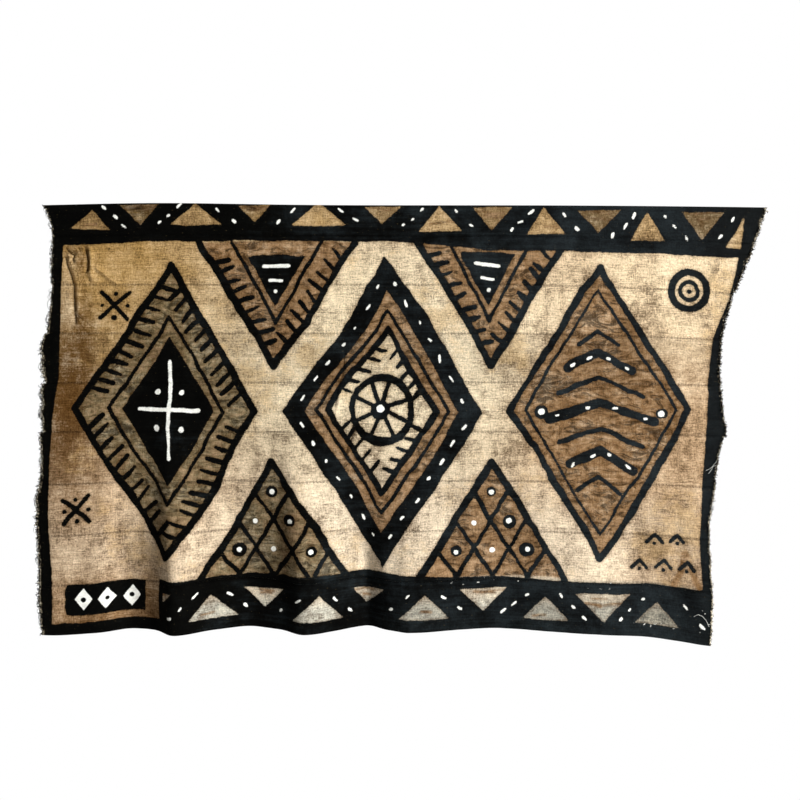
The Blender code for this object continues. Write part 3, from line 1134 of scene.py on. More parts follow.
def store_paint(mesh, x, depth, side, layers, ground):
    """Give a mesh's points their place on the cloth, their paint, the painted shade of the creases and ground
    colour.
    """
    washed = np.maximum(layers["dun"], layers["wash"])
    white = np.minimum(layers["white"], -layers["slit"])
    crease, dark = crease_lines(x, depth)
    for name, values in (
        ("cloth_place", (x, depth, side)),
        ("cloth_paint", (layers["ink"], white, washed)),
        ("cloth_crease", (crease, dark, np.zeros_like(x))),
    ):
        set_attribute(mesh, name, "FLOAT_VECTOR", np.stack(values, axis=-1))
    set_attribute(mesh, "cloth_ground", "FLOAT_COLOR", np.column_stack([ground, np.ones(len(x))]))


# Shader building

COTTON_SHEEN = 0.03

# The weave's yarns lie further apart along the strips than across; the needle holes stand this share of a
# stitch's width from their seam
WEFT_WIDER = 1.12
HOLES_OUT = 0.36


class Wire:
    """A node's output, usable in Python expressions on numbers."""

    def __init__(self, maker, socket):
        self.maker = maker
        self.socket = socket

    def math(self, operation, *values):
        return self.maker.node("Math", {"operation": operation}, dict(enumerate(values)))

    def __add__(self, other):
        return self.math("ADD", self, other)

    def __sub__(self, other):
        return self.math("SUBTRACT", self, other)

    def __rsub__(self, other):
        return self.math("SUBTRACT", other, self)

    def __mul__(self, other):
        return self.math("MULTIPLY", self, other)

    def __truediv__(self, other):
        return self.math("DIVIDE", self, other)

    __radd__ = __add__
    __rmul__ = __mul__

    def floor(self):
        return self.math("FLOOR", self)

    def fract(self):
        return self.math("FRACT", self)

    def sine(self):
        return self.math("SINE", self)

    def size(self):
        return self.math("ABSOLUTE", self)

    def power(self, exponent):
        return self.math("POWER", self, exponent)

    def parity(self):
        return self.math("FLOORED_MODULO", self, 2.0)


class NodeMaker:
    """Makes the nodes of one material."""

    def __init__(self, material):
        material.use_nodes = True
        self.tree = material.node_tree
        self.tree.nodes.clear()

    def node(self, kind, settings=None, sockets=None, output=0):
        """A node of any kind: its settings first, then the values or links of its sockets."""
        made = self.tree.nodes.new("ShaderNode" + kind)
        for name, value in (settings or {}).items():
            setattr(made, name, value)
        for name, value in (sockets or {}).items():
            if isinstance(value, Wire):
                self.tree.links.new(value.socket, made.inputs[name])
            else:
                made.inputs[name].default_value = value
        return Wire(self, made.outputs[output]) if len(made.outputs) else made

    def attribute(self, name, output="Vector"):
        return self.node("Attribute", {"attribute_name": name}, output=output)

    def parts(self, vector):
        """The three numbers of a vector."""
        split = self.node("SeparateXYZ", sockets={0: vector})
        return [split] + [Wire(self, split.socket.node.outputs[i]) for i in (1, 2)]

    def stretched(self, vector, scale):
        return self.node("VectorMath", {"operation": "MULTIPLY"}, {0: vector, 1: scale})

    def noise(self, vector, scale, detail, roughness, curl=0.0):
        """Noise from 0 to 1. Scale is a number, or three for the directions; curl bends the pattern."""
        if isinstance(scale, tuple):
            vector, scale = self.stretched(vector, scale), 1.0
        return self.node("TexNoise", sockets={"Vector": vector, "Scale": scale, "Detail": detail,
                                              "Roughness": roughness, "Distortion": curl})

    def uneven(self, *settings):
        """Noise about 0, mostly from -0.2 to 0.2."""
        return self.noise(*settings) - 0.5

    def smooth(self, value, low, high):
        """Rise smoothly from 0 at low to 1 at high."""
        return self.node("MapRange", {"interpolation_type": "SMOOTHSTEP"},
                         {"Value": value, "From Min": low, "From Max": high})

    def mix(self, first, second, factor, blend="MIX"):
        """Mixed colours."""
        return self.node("Mix", {"data_type": "RGBA", "blend_type": blend},
                         {"Factor": factor, 6: first, 7: second}, output=2)

    def shade(self, colour, amount):
        """A colour made darker or lighter by a number that varies."""
        grey = self.node("CombineColor", sockets={0: amount, 1: amount, 2: amount})
        return self.mix(colour, grey, 1.0, "MULTIPLY")

    def matt_cotton(self, colour, roughness, height, strength):
        """The cotton's surface: a colour, and a height in metres that its bumps come from."""
        bump = self.node("Bump", sockets={"Height": height, "Distance": 1.0, "Strength": strength})
        surface = self.node("BsdfPrincipled", sockets={
            "Base Color": colour, "Roughness": roughness, "Normal": bump, "Specular IOR Level": COTTON_SHEEN})
        self.node("OutputMaterial", sockets={"Surface": surface})


def dye_socket(name):
    """Colour of a dye or paint, for a colour socket."""
    return (*dye(name), 1.0)


def weave_height(maker, x, depth, wander):
    """Plain weave, from 0 between the yarns to 1 on top of them."""
    pitch = sizes().yarn_pitch
    weft = x / (pitch * WEFT_WIDER) + wander
    warp = depth / pitch + wander
    over = (weft.floor() + warp.floor()).parity()
    across = (weft.fract() * math.pi).sine()
    down = (warp.fract() * math.pi).sine()
    return over * down * (across * 0.45 + 0.55) + (1 - over) * across * (down * 0.45 + 0.55)


def seam_marks(maker, x, depth, coarse):
    """How dark the needle holes are and how dark the seam's line is."""
    values = sizes()
    turns = ((depth - TOP_SHOWN) / STRIP_WIDTH + 0.5).fract() - 0.5
    away = (turns * STRIP_WIDTH).size()
    along = ((x / values.stitch_pitch + coarse * 1.5).fract() - 0.5) * values.stitch_pitch
    across = away - values.stitch_width * HOLES_OUT
    hole = 1 - maker.smooth((along * along + across * across).power(0.5), 0.0007, 0.0016)
    line = 1 - maker.smooth(away, 0.0003, 0.0017)
    return hole, line


class Unevenness:
    """The noises that a cloth's materials share: most are named for what they stand for on the real one."""

    def __init__(self, maker, place):
        self.coarse = maker.uneven(place, 60.0, 3.0, 0.6)
        self.wicking = maker.uneven(place, (120.0, 520.0, 1.0), 2.0, 0.6)
        self.climbing = maker.uneven(place, (520.0, 120.0, 1.0), 2.0, 0.6)
        self.grain = maker.uneven(place, 240.0, 3.0, 0.7)
        self.weft = maker.uneven(place, (46.0, 400.0, 1.0), 2.0, 0.6)
        self.warp = maker.uneven(place, (400.0, 62.0, 1.0), 2.0, 0.6)
        self.streaks = maker.uneven(place, (6.0, 130.0, 1.0), 4.0, 0.7)
        self.runs = maker.uneven(place, (34.0, 5.5, 1.0), 4.0, 0.65)
        self.mottle = maker.uneven(place, 42.0, 5.0, 0.68)
        self.cloud = maker.uneven(place, 10.0, 5.0, 0.62)
        self.drift = maker.uneven(place, 4.6, 4.0, 0.6)
        self.brushed = maker.uneven(place, (20.0, 46.0, 1.0), 5.0, 0.72, 1.7)
        self.yarns = self.grain * 1.5 + self.weft * 1.15 + self.warp * 0.85


def dyed_ground(maker, place, depth, ink, wash_mask, weave, uneven):
    """The leaf-dyed ground: cream where the dye is thin, smoky where it is thick, brushed in the washes."""
    ground = maker.attribute("cloth_ground", "Color")
    streaked = uneven.streaks * 1.1 * maker.smooth(uneven.cloud, -0.12, 0.06)
    patchy = uneven.mottle * 1.3 + uneven.cloud * 2.0 + uneven.runs * 0.9 + streaked
    tone = uneven.yarns * 0.62 + patchy * 0.95
    ground = maker.mix(ground, dye_socket("cream"), tone * 0.42)
    ground = maker.mix(ground, dye_socket("smoke"), tone * -1.25)

    golden = maker.smooth(uneven.drift + uneven.mottle * 0.5 + uneven.weft * 0.2, 0.0, 0.17)
    golden = golden * (1 - wash_mask) * maker.smooth(depth, FIELD_BOTTOM + 0.006, FIELD_BOTTOM - 0.004)
    ground = maker.mix(ground, dye_socket("gold"), golden * 0.42)

    brushed = uneven.brushed * 1.9 + uneven.cloud * 1.2 + uneven.weft * 0.5 + uneven.grain * 0.7
    thin = maker.smooth(brushed, -0.02, -0.30) * wash_mask
    ground = maker.mix(ground, dye_socket("tan"), thin * 0.50)
    ground = maker.shade(ground, 1 - maker.smooth(brushed, -0.04, 0.26) * wash_mask * 0.78)

    halo = maker.smooth(ink + uneven.coarse * 0.006, -0.0065, -0.0005)
    ground = maker.mix(ground, dye_socket("smoke"), halo * 0.26)
    # Painted highlights: small bright specks where the yarns catch the light.
    painted_glints = maker.smooth(maker.noise(place, 330.0, 1.0, 0.5), 0.62, 0.74)
    shade = uneven.yarns * 1.15 + patchy * 0.56 + painted_glints * 0.24 + weave * 0.14 + 0.96
    ground = maker.shade(ground, shade)
    specks = maker.smooth(maker.noise(place, 290.0, 2.0, 0.5), 0.66, 0.74)
    return maker.shade(ground, 1 - specks * 0.55)


def black_mud(maker, place, x, ink, uneven):
    """The black: browner at the left, with a painted sheen that greys and cools it towards the right, worn
    and scratched in places.
    """
    # Painted sheen: the black turns greyer and bluer towards the right and along streaks, less on the far
    # right bar.
    painted_sheen_share = maker.smooth(x + uneven.coarse * 0.8 + uneven.cloud * 2.0 + uneven.streaks * 1.2, -0.48, 0.70)
    painted_sheen_share = painted_sheen_share * (1 - maker.smooth(x, 0.60, 0.76) * 0.70)
    black = maker.mix(dye_socket("mud"), dye_socket("mud_cool"), painted_sheen_share)
    shade = uneven.yarns + uneven.mottle * 1.9 + uneven.streaks * 1.1 + uneven.cloud * 2.2 + 1.0
    black = maker.shade(black, shade)
    worn = maker.smooth(maker.noise(place, (70.0, 420.0, 1.0), 3.0, 0.7) - ink * 9.0, 0.56, 0.70)
    scratched = maker.smooth(maker.noise(place, (150.0, 330.0, 1.0), 2.0, 0.5), 0.69, 0.76)
    return maker.mix(black, dye_socket("dun"), worn * 0.30 + scratched * 0.34)


def cloth_material(material):
    """Hand-woven cotton with its dyes, black mud and bleached marks, with painted shade along the creases, a
    painted sheen on the black and painted highlights on the yarns.
    """
    maker = NodeMaker(material)
    place = maker.attribute("cloth_place")
    x, depth, side = maker.parts(place)
    ink, white, washed = maker.parts(maker.attribute("cloth_paint"))
    crease, dark, _ = maker.parts(maker.attribute("cloth_crease"))
    uneven = Unevenness(maker, place)
    weave = weave_height(maker, x, depth, uneven.coarse * 1.2)

    edge = uneven.coarse * 0.0038 + uneven.wicking * 0.0046 + uneven.climbing * 0.0036
    ink_mask = maker.smooth(ink + edge, -0.0007, 0.0009)
    white_mask = maker.smooth(white + edge * 0.6, -0.0005, 0.0009)
    wash_mask = maker.smooth(washed + edge * 1.5, -0.0030, 0.0030)
    ground = dyed_ground(maker, place, depth, ink, wash_mask, weave, uneven)

    hole, line = seam_marks(maker, x, depth, uneven.coarse)
    ground = maker.shade(ground, 1 - hole * 0.50 - line * 0.20)
    # Painted shade: a dark line along each crease and a painted shadow beside it; where a crease's darkness
    # is below zero, its line is a painted highlight instead.
    near = maker.smooth((crease + uneven.coarse * 0.003).size(), 0.0024, 0.0005)
    crease_shadow = maker.smooth((crease + uneven.coarse * 0.008 + 0.0030).size(), 0.0085, 0.0010)
    ground = maker.mix(ground, dye_socket("smoke"), crease_shadow * dark * 0.85)
    ground = maker.shade(ground, 1 - near * dark * 0.80)

    colour = maker.mix(ground, black_mud(maker, place, x, ink, uneven), ink_mask * (side * 0.45 + 0.55))
    dusty = uneven.mottle * 1.1 + uneven.grain * 0.5 + uneven.weft * 0.4 + 1.0
    chalk = maker.shade(dye_socket("white"), dusty)
    colour = maker.mix(colour, chalk, white_mask * (side * 0.96))
    colour = maker.mix(colour, dye_socket("cream"), (1 - side) * 0.34)

    crumple = uneven.coarse * 0.0012 + maker.noise(place, 150.0, 3.0, 0.6) * 0.0003
    yarn_height = weave * 0.00034 + uneven.weft * 0.0004 + uneven.warp * 0.0003
    height = crumple + yarn_height + near * dark * -0.0006
    maker.matt_cotton(colour, 0.95 - ink_mask * 0.15 + uneven.mottle * 0.10, height, 0.9)


def yarn_material(material):
    """Spun cotton yarn, for the sewing and the frayed ends."""
    maker = NodeMaker(material)
    ink = maker.parts(maker.attribute("cloth_paint"))[0]
    fibre = maker.noise(maker.attribute("cloth_place"), 900.0, 3.0, 0.6)
    colour = maker.shade(maker.attribute("cloth_ground", "Color"), (fibre - 0.5) * 0.7 + 1.0)
    ink_mask = maker.smooth(ink + (fibre - 0.5) * 0.003, -0.0015, 0.0015)
    maker.matt_cotton(maker.mix(colour, dye_socket("mud"), ink_mask), 0.95, fibre * 0.0002, 0.8)


MATERIALS = {"painted_cotton": cloth_material, "cotton_yarn": yarn_material}


def the_material(name):
    """A material made once and shared."""
    made = bpy.data.materials.get(name)
    if made is None:
        made = bpy.data.materials.new(name)
        MATERIALS[name](made)
    return made


# Woven strips

# Steps round the fold of the hem, and how strongly the paint soaks round a strip's rims
TURN_STEPS = 10
SOAKED = 0.85
SHARP_EDGE = math.radians(50)

# The worn band along the cut ends: near 0, about half of its yarns are bare. Its waves for each metre
# across and down, its depth, how much that varies, and how fast the black recovers beyond it
WORN_INK = 0.0006
WORN_WAVES = (40.0, 55.0, 91.0)
WORN_DEPTH = 0.95
WORN_VARIES = 0.7
WORN_RECOVERS = 0.8
WORN_FADE = 0.004
WORN_CREAM = 0.75
BARE_TONE = 0.80


def strip_section(number, step):
    """Section of a strip: depths below the top edge, each with its distance behind the front layer."""
    upper, lower = edge_depths(number)
    if number > 0:
        rows = round((lower - upper) / step)
        section = [(upper + (lower - upper) * i / rows, 0.0) for i in range(rows + 1)]
    else:
        hem_rows = round(HEM_WIDTH / step)
        section = [(TURN_RADIUS + HEM_WIDTH * (1 - i / hem_rows), 2 * TURN_RADIUS) for i in range(hem_rows)]
        for i in range(TURN_STEPS + 1):
            angle = math.pi * i / TURN_STEPS
            section.append((TURN_RADIUS * (1 - math.sin(angle)), TURN_RADIUS * (1 + math.cos(angle))))
        rows = round((lower - TURN_RADIUS) / step)
        section += [(TURN_RADIUS + (lower - TURN_RADIUS) * i / rows, 0.0) for i in range(1, rows + 1)]
    if number < STRIP_COUNT - 1:
        section[-1] = (lower + LAP, LAP_BEHIND)
    return section


def bake_map(mesh, columns, rows, thickness_side, section_run, length):
    """Lay out the map of a strip's colours: front and back in lanes, the edges in narrow lanes."""
    count = len(mesh.polygons)
    corners = np.empty(len(mesh.loops), np.int32)
    mesh.loops.foreach_get("vertex_index", corners)
    corners = corners.reshape(count, 4)
    column, row, back = columns[corners], rows[corners], thickness_side[corners]
    last_column = columns.max()
    part_columns = last_column / MAP_PARTS
    part = np.clip(np.floor(column.min(axis=1) / part_columns), 0, MAP_PARTS - 1)
    along = (column - part[:, None] * part_columns) * (length / last_column)
    down = section_run[row]
    lane = section_run[-1] + MAP_MARGIN
    mixed = back.any(axis=1) & ~back.all(axis=1)
    level = mixed & (np.ptp(row, axis=1) == 0)
    cap = mixed & ~level
    u = along + MAP_MARGIN
    v = (part + MAP_PARTS * back.all(axis=1))[:, None] * lane + down + MAP_MARGIN
    rim_base = 2 * MAP_PARTS * lane + MAP_MARGIN
    rim_lane = part * 2 + (row.max(axis=1) > 0)
    v[level] = (rim_base + rim_lane[level, None] * RIM_PITCH) + back[level] * THICKNESS
    cap_base = length / MAP_PARTS + 3 * MAP_MARGIN
    u[cap] = cap_base + (column.max(axis=1)[cap, None] > 0) * RIM_PITCH * 2 + back[cap] * THICKNESS
    v[cap] = down[cap] + MAP_MARGIN
    side = max(u.max(), v.max()) + MAP_MARGIN
    layer = mesh.uv_layers.new(name=MAP_NAME)
    layer.data.foreach_set("uv", (np.stack([u, v], axis=-1) / side).astype(np.float32).ravel())


def add_piece(name, mesh, material):
    piece = bpy.data.objects.new(name, mesh)
    bpy.context.scene.collection.objects.link(piece)
    mesh.materials.append(the_material(material))
    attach(piece, "root")
    return piece


def worn_ends(x, depth, from_left, from_right, number):
    """Paint and ground of a strip, with bare yarns showing through the black along its cut ends."""
    layers = painted_layers(x, depth)
    ground = ground_colours(x, depth, layers, number)
    ragged = waves(x, depth, *WORN_WAVES)
    for away, side in ((from_left, -1), (from_right, 1)):
        beyond = away - at_depth(FRAYING[side], depth, "length") * (WORN_DEPTH + WORN_VARIES * ragged)
        sound = WORN_INK * (1 + ragged) + np.maximum(0.0, beyond) * WORN_RECOVERS
        layers["ink"] = np.minimum(layers["ink"], sound)
        share = (1 - ease(0.0, WORN_FADE, beyond)) * WORN_CREAM
        ground = ground + (dye("cream") * BARE_TONE - ground) * share[:, None]
    return layers, ground


def grid_sheet(columns, rows):
    """A flat grid, with the column and the row of each of its points."""
    shape = bmesh.new()
    bmesh.ops.create_grid(shape, x_segments=columns, y_segments=rows, size=0.5)
    mesh = bpy.data.meshes.new("strip_sheet")
    shape.to_mesh(mesh)
    shape.free()
    across, up = mesh_places(mesh)[:, :2].T
    return mesh, np.rint((across + 0.5) * columns).astype(int), np.rint((0.5 - up) * rows).astype(int)


def mesh_places(mesh):
    """The places of a mesh's points."""
    flat = np.empty(len(mesh.vertices) * 3)
    mesh.vertices.foreach_get("co", flat)
    return flat.reshape(-1, 3)


def evaluated_mesh(data, name, wall=0.0):
    """The finished mesh of a sheet or curve, given a wall's thickness if there is one."""
    carrier = bpy.data.objects.new(name, data)
    bpy.context.scene.collection.objects.link(carrier)
    if wall:
        thickness = carrier.modifiers.new("Thickness", "SOLIDIFY")
        thickness.thickness = wall
        thickness.offset = 0.0
    mesh = bpy.data.meshes.new_from_object(carrier.evaluated_get(bpy.context.evaluated_depsgraph_get()))
    bpy.data.objects.remove(carrier)
    return mesh


def make_strip(number):
    """One woven strip: a fine grid moved to the hanging shape, thickened, dyed and painted."""
    step = sizes().mesh_step
    section = strip_section(number, step)
    ends = STRIPS[number]
    length = max(ends.right_top, ends.right_middle) - min(ends.left_top, ends.left_middle)
    columns = MAP_PARTS * round(length / step / MAP_PARTS)
    mesh, column, row = grid_sheet(columns, len(section) - 1)
    depth = np.array([step_depth for step_depth, _ in section])[row]
    behind = np.array([step_behind for _, step_behind in section])[row]
    left, right = strip_ends(number, depth)
    x = left + (right - left) * (column / columns)
    mesh.vertices.foreach_set("co", cloth_places(x, depth, behind, hem=number == 0).ravel())
    solid = evaluated_mesh(mesh, "strip_sheet", THICKNESS)
    bpy.data.meshes.remove(mesh)
    count = len(x)
    if len(solid.vertices) != 2 * count:
        raise RuntimeError(f"strip {number + 1} has {len(solid.vertices)} points and not {2 * count}")

    both = np.arange(2 * count) % count
    front_part = np.concatenate([behind < TURN_RADIUS, behind >= TURN_RADIUS])
    soaked = (column == 0) | (column == columns) | (row == len(section) - 1)
    side = np.maximum(front_part, soaked[both] * SOAKED)
    x, depth = x[both], depth[both]
    layers, ground = worn_ends(x, depth, x - left[both], right[both] - x, number)
    store_paint(solid, x, depth, side, layers, ground)
    run = np.concatenate([[0.0], np.cumsum([math.dist(a, b) for a, b in zip(section, section[1:])])])
    bake_map(solid, column[both], row[both], np.arange(2 * count) >= count, run, length)
    solid.shade_smooth()
    solid.set_sharp_from_angle(angle=SHARP_EDGE)
    solid.name = f"woven_strip_{number + 1}"
    piece = add_piece(solid.name, solid, "painted_cotton")
    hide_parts(f"strip_{number + 1}")


# Yarns

# A yarn's radius at its tip, as a share of that at its root
TIP_RADIUS = 0.80

# A whip stitch: shares of its reach from end to end, and how high it stands off the cloth at each
STITCH_SECTION = (
    (-1.0, -0.0009), (-0.86, 0.0003), (-0.42, 0.0012), (0.0, 0.0015), (0.42, 0.0012), (0.86, 0.0003),
    (1.0, -0.0009),
)
STITCH_REACHES = (0.40, 0.56)
STITCH_SLANTS = (0.0012, 0.0028)
STITCH_GAPS = (0.75, 1.3)
STITCH_RADII = (0.85, 1.2)
STITCHES_FROM_LEFT = 0.004
STITCHES_FROM_RIGHT = 0.006
SEAM_TONE = 0.55


def yarn_piece(name, paths, radius, number, ground, ink=None):
    """One mesh of many short yarns on a strip. Each path is a list of places and its share of the radius."""
    curve = bpy.data.curves.new(name, "CURVE")
    curve.dimensions = "3D"
    curve.bevel_depth = radius
    curve.bevel_resolution = 0
    curve.use_fill_caps = True
    for path, thickness in paths:
        spline = curve.splines.new("POLY")
        spline.points.add(len(path) - 1)
        flat = np.column_stack([np.array(path), np.ones(len(path))])
        spline.points.foreach_set("co", flat.astype(np.float32).ravel())
        taper = np.linspace(thickness, thickness * TIP_RADIUS, len(path))
        spline.points.foreach_set("radius", taper.astype(np.float32))
    mesh = evaluated_mesh(curve, name)
    bpy.data.curves.remove(curve)
    welded = bmesh.new()
    welded.from_mesh(mesh)
    bmesh.ops.remove_doubles(welded, verts=welded.verts, dist=0.00001)
    welded.to_mesh(mesh)
    welded.free()
    mesh.name = name
    placed = mesh_places(mesh)
    x, depth = placed[:, 0], depth_of(placed[:, 0], placed[:, 2])
    layers = painted_layers(x, depth)
    tones = ground(x, depth, ground_colours(x, depth, layers, number))
    if ink:
        layers["ink"] = ink(x, depth)
    store_paint(mesh, x, depth, np.ones(len(x)), layers, tones)
    mesh.shade_smooth()
    piece = add_piece(name, mesh, "cotton_yarn")


def make_seam(number):
    """Whip stitches over the seam below a strip, slanting across it one after the other."""
    values = sizes()
    hand = random.Random(100 + number)
    seam = SEAMS[number]
    left, right = strip_ends(number + 1, np.array([seam + 0.001]))
    stitches = []
    x = left[0] + STITCHES_FROM_LEFT
    while x < right[0] - STITCHES_FROM_RIGHT:
        reach = values.stitch_width * hand.uniform(*STITCH_REACHES)
        stitches.append((x, reach, hand.uniform(*STITCH_SLANTS)))
        x += values.stitch_pitch * hand.uniform(*STITCH_GAPS)
    shares, heights = np.array(STITCH_SECTION).T
    across = np.array([[x + slant * s for s in shares] for x, _, slant in stitches])
    down = np.array([[seam + reach * s for s in shares] for _, reach, _ in stitches])
    surface = cloth_places(across.ravel(), down.ravel())
    surface[:, 1] -= THICKNESS / 2 + np.tile(heights, len(stitches))
    runs = surface.reshape(len(stitches), len(shares), 3)
    paths = [(path, hand.uniform(*STITCH_RADII)) for path in runs]
    yarn_piece(f"seam_{number + 1}", paths, values.yarn_radius, number, seam_tones)


def seam_tones(x, depth, tones):
    """Sewing yarn, darker than the cloth around it."""
    return tones * SEAM_TONE


# How the cut ends fray at some depths, left -1 and right 1: how long the yarns are and how many are bare
Fraying = namedtuple("Fraying", "depth length bare")
FRAYING = {
    -1: (
        Fraying(0.00, 0.0026, 0.20),
        Fraying(0.26, 0.0032, 0.22),
        Fraying(0.33, 0.0058, 0.30),
        Fraying(0.42, 0.0050, 0.30),
        Fraying(0.58, 0.0054, 0.27),
        Fraying(0.70, 0.0054, 0.25),
        Fraying(0.98, 0.0058, 0.27),
    ),
    1: (
        Fraying(0.00, 0.0050, 0.42),
        Fraying(0.06, 0.0050, 0.36),
        Fraying(0.12, 0.0046, 0.22),
        Fraying(0.33, 0.0046, 0.14),
        Fraying(0.50, 0.0036, 0.20),
        Fraying(0.80, 0.0026, 0.34),
        Fraying(0.98, 0.0020, 0.50),
    ),
}
FRAY_STEPS = 6
FRAY_ROOT = 0.0030

# How frayed yarns differ: they lie in clumps and tufts, and each has its own length, turn and curl
CLUMPS_EACH_METRE = 75.0
TUFTS_EACH_METRE = 19.0
FRAY_LENGTHS = (-0.06, 0.24)
FRAY_LONGEST = 1.8
FRAY_LEAN = 0.9
FRAY_TURNS = 0.50
FRAY_CURLS = 0.65
CURL_GROWS = 0.4
FRAY_OUTWARD = (-0.05, 0.25)
FRAY_OFFSET = (-0.4, 1.0)
FRAY_RADII = (0.7, 1.2)

# Which frayed yarns are bare: waves for each metre across and down, their seed and how strongly they
# tell, and where and how much rarer bare yarn is towards the tips
BARE_WAVES = (400.0, 460.0)
BARE_SEED = 81.0
BARE_CONTRAST = 0.9
TIPS_START = 0.0005
TIPS_FULL = 0.0040
TIPS_DARKER = 0.30

# How far inside the black a painted yarn counts, and a bare one outside it
PAINTED = 0.006
UNPAINTED = -0.01
MIDDLE_STRIP = STRIP_COUNT // 2


def frayed_yarns(side, hand):
    """Paths of the curled yarns that stand out of the strips' cut ends on one side."""
    paths = []
    for number in range(STRIP_COUNT):
        upper, lower = edge_depths(number)
        count = int((lower - upper) / sizes().fray_pitch)
        places = [(i + hand.random()) / count for i in range(count)]
        depths = np.array([upper + 0.0005 + (lower - upper - 0.001) * share for share in places])
        clump = waves(depths, depths, 0.0, CLUMPS_EACH_METRE, number + 40.5 * side)
        tuft = waves(depths, depths, 0.0, TUFTS_EACH_METRE, number + 60.5 * side)
        roots = cloth_places(cut_end(number, depths, side) - side * FRAY_ROOT, depths)
        for root, depth, lean, full in zip(roots, depths, clump, tuft):
            typical = at_depth(FRAYING[side], depth, "length") * (1.0 + (0.35 - 0.30 * side) * full)
            length = FRAY_ROOT + min(typical * hand.lognormvariate(*FRAY_LENGTHS), FRAY_LONGEST * typical)
            turn = lean * FRAY_LEAN + hand.gauss(0, FRAY_TURNS)
            curl = hand.gauss(0, FRAY_CURLS)
            out = hand.gauss(*FRAY_OUTWARD)
            place = root.copy()
            place[1] -= hand.uniform(*FRAY_OFFSET) * THICKNESS
            path = [place]
            for step in range(FRAY_STEPS):
                turn += curl * step * CURL_GROWS
                place = place + length / FRAY_STEPS * np.array([side * math.cos(turn), out, math.sin(turn)])
                path.append(place)
            paths.append((path, hand.uniform(*FRAY_RADII)))
    return paths


# Loose yarns that have slipped from the cut ends and hang along them
Loose = namedtuple("Loose", "side count reach run")
LOOSE = (Loose(-1, 84, 0.0072, 0.030), Loose(1, 22, 0.0045, 0.020))
LOOP_POINTS = 12
LOOP_RUNS = (0.35, 1.2)
LOOP_REACHES = (0.35, 1.25)
LOOP_SKEWS = (0.7, 1.4)
LOOP_RADII = (0.8, 1.2)
LOOP_ROOT = 0.0015
LOOP_WIGGLE = 0.0012
WIGGLES_EACH_METRE = 260.0
LOOP_STRAYS = 0.0012
LOOP_OUTWARD = 0.0010
LOOP_THICKER = 1.2


def loose_yarns(loose, hand):
    """Paths of yarns that leave a cut end, bow out along it and come back."""
    paths = []
    for _ in range(loose.count):
        number = hand.randrange(STRIP_COUNT)
        upper, lower = edge_depths(number)
        run = loose.run * hand.uniform(*LOOP_RUNS)
        top = hand.uniform(upper, max(upper + 0.002, lower - run))
        depths = np.linspace(top, min(top + run, lower), LOOP_POINTS)
        reach = loose.reach * hand.uniform(*LOOP_REACHES)
        shares = np.linspace(0, 1, LOOP_POINTS)
        bow = reach * np.sin(math.pi * shares ** hand.uniform(*LOOP_SKEWS)) - LOOP_ROOT
        bow += LOOP_WIGGLE * waves(depths, depths, 0.0, WIGGLES_EACH_METRE, hand.uniform(0, 50))
        places = cloth_places(cut_end(number, depths, loose.side), depths)
        places[:, 0] += loose.side * bow
        places[:, 1] += hand.gauss(0, LOOP_STRAYS) - LOOP_OUTWARD * np.sin(math.pi * shares)
        paths.append((list(places), hand.uniform(*LOOP_RADII)))
    return paths


# Single long threads that show at the right side: start, and steps across and down
Thread = namedtuple("Thread", "x depth path")
THREADS = (
    Thread(0.694, 0.605, ((0.0, 0.0), (0.009, -0.004), (0.017, -0.010), (0.026, -0.013), (0.034, -0.018))),
    Thread(0.700, 0.612, ((0.0, 0.0), (0.008, -0.010), (0.012, -0.020), (0.020, -0.028))),
    Thread(0.705, 0.792, ((0.0, 0.0), (0.005, 0.008), (0.004, 0.019), (-0.002, 0.027))),
    Thread(0.664, 0.925, ((0.0, 0.0), (0.010, -0.006), (0.020, -0.003), (0.029, 0.006), (0.034, 0.018))),
)
THREAD_POINTS = 16


def loose_threads():
    """Paths of the single long threads, lying on the cloth."""
    paths = []
    for thread in THREADS:
        steps = np.linspace(0, len(thread.path) - 1, THREAD_POINTS)
        across, down = (np.interp(steps, range(len(thread.path)), moves) for moves in zip(*thread.path))
        places = cloth_places(thread.x + across, thread.depth + down)
        places[:, 1] -= THICKNESS / 2 + 0.0004
        paths.append((list(places), 1.1))
    return paths


def outside_ends(side, x, depth):
    """How far places lie outside the cut ends on one side."""
    away = np.zeros_like(x)
    for number in range(STRIP_COUNT):
        upper, lower = edge_depths(number)
        away = np.where((depth >= upper) & (depth < lower), side * (x - cut_end(number, depth, side)), away)
    return away


def fray_tones(side, extra=0.0):
    """Colouring for frayed yarns: some are bare cotton, the rest keep their black, and most tips are dark."""
    def ground(x, depth, tones):
        return tones * 0 + dye("cream") * (0.78 + 0.22 * side)

    def ink(x, depth):
        bare = at_depth(FRAYING[side], depth, "bare") + extra
        bare = bare - TIPS_DARKER * ease(TIPS_START, TIPS_FULL, outside_ends(side, x, depth))
        bare = bare + waves(x, depth, *BARE_WAVES, BARE_SEED + side) * BARE_CONTRAST
        return np.where(bare > 0.5, UNPAINTED, PAINTED)

    return ground, ink


def white_yarn(x, depth, tones):
    return tones * 0 + dye("white")


def unpainted(x, depth):
    return np.full_like(x, UNPAINTED)


def make_fray(name, side):
    """The frayed side of the cloth, and the loops of yarn that have slipped from it."""
    hand = random.Random(500 + side)
    yarn_piece(name, frayed_yarns(side, hand), sizes().fray_radius, MIDDLE_STRIP, *fray_tones(side))
    paths = [path for loose in LOOSE if loose.side == side for path in loose_yarns(loose, hand)]
    tones = fray_tones(side, 0.24 + 0.10 * side)
    yarn_piece(name + "_loops", paths, sizes().yarn_radius * LOOP_THICKER, MIDDLE_STRIP, *tones)


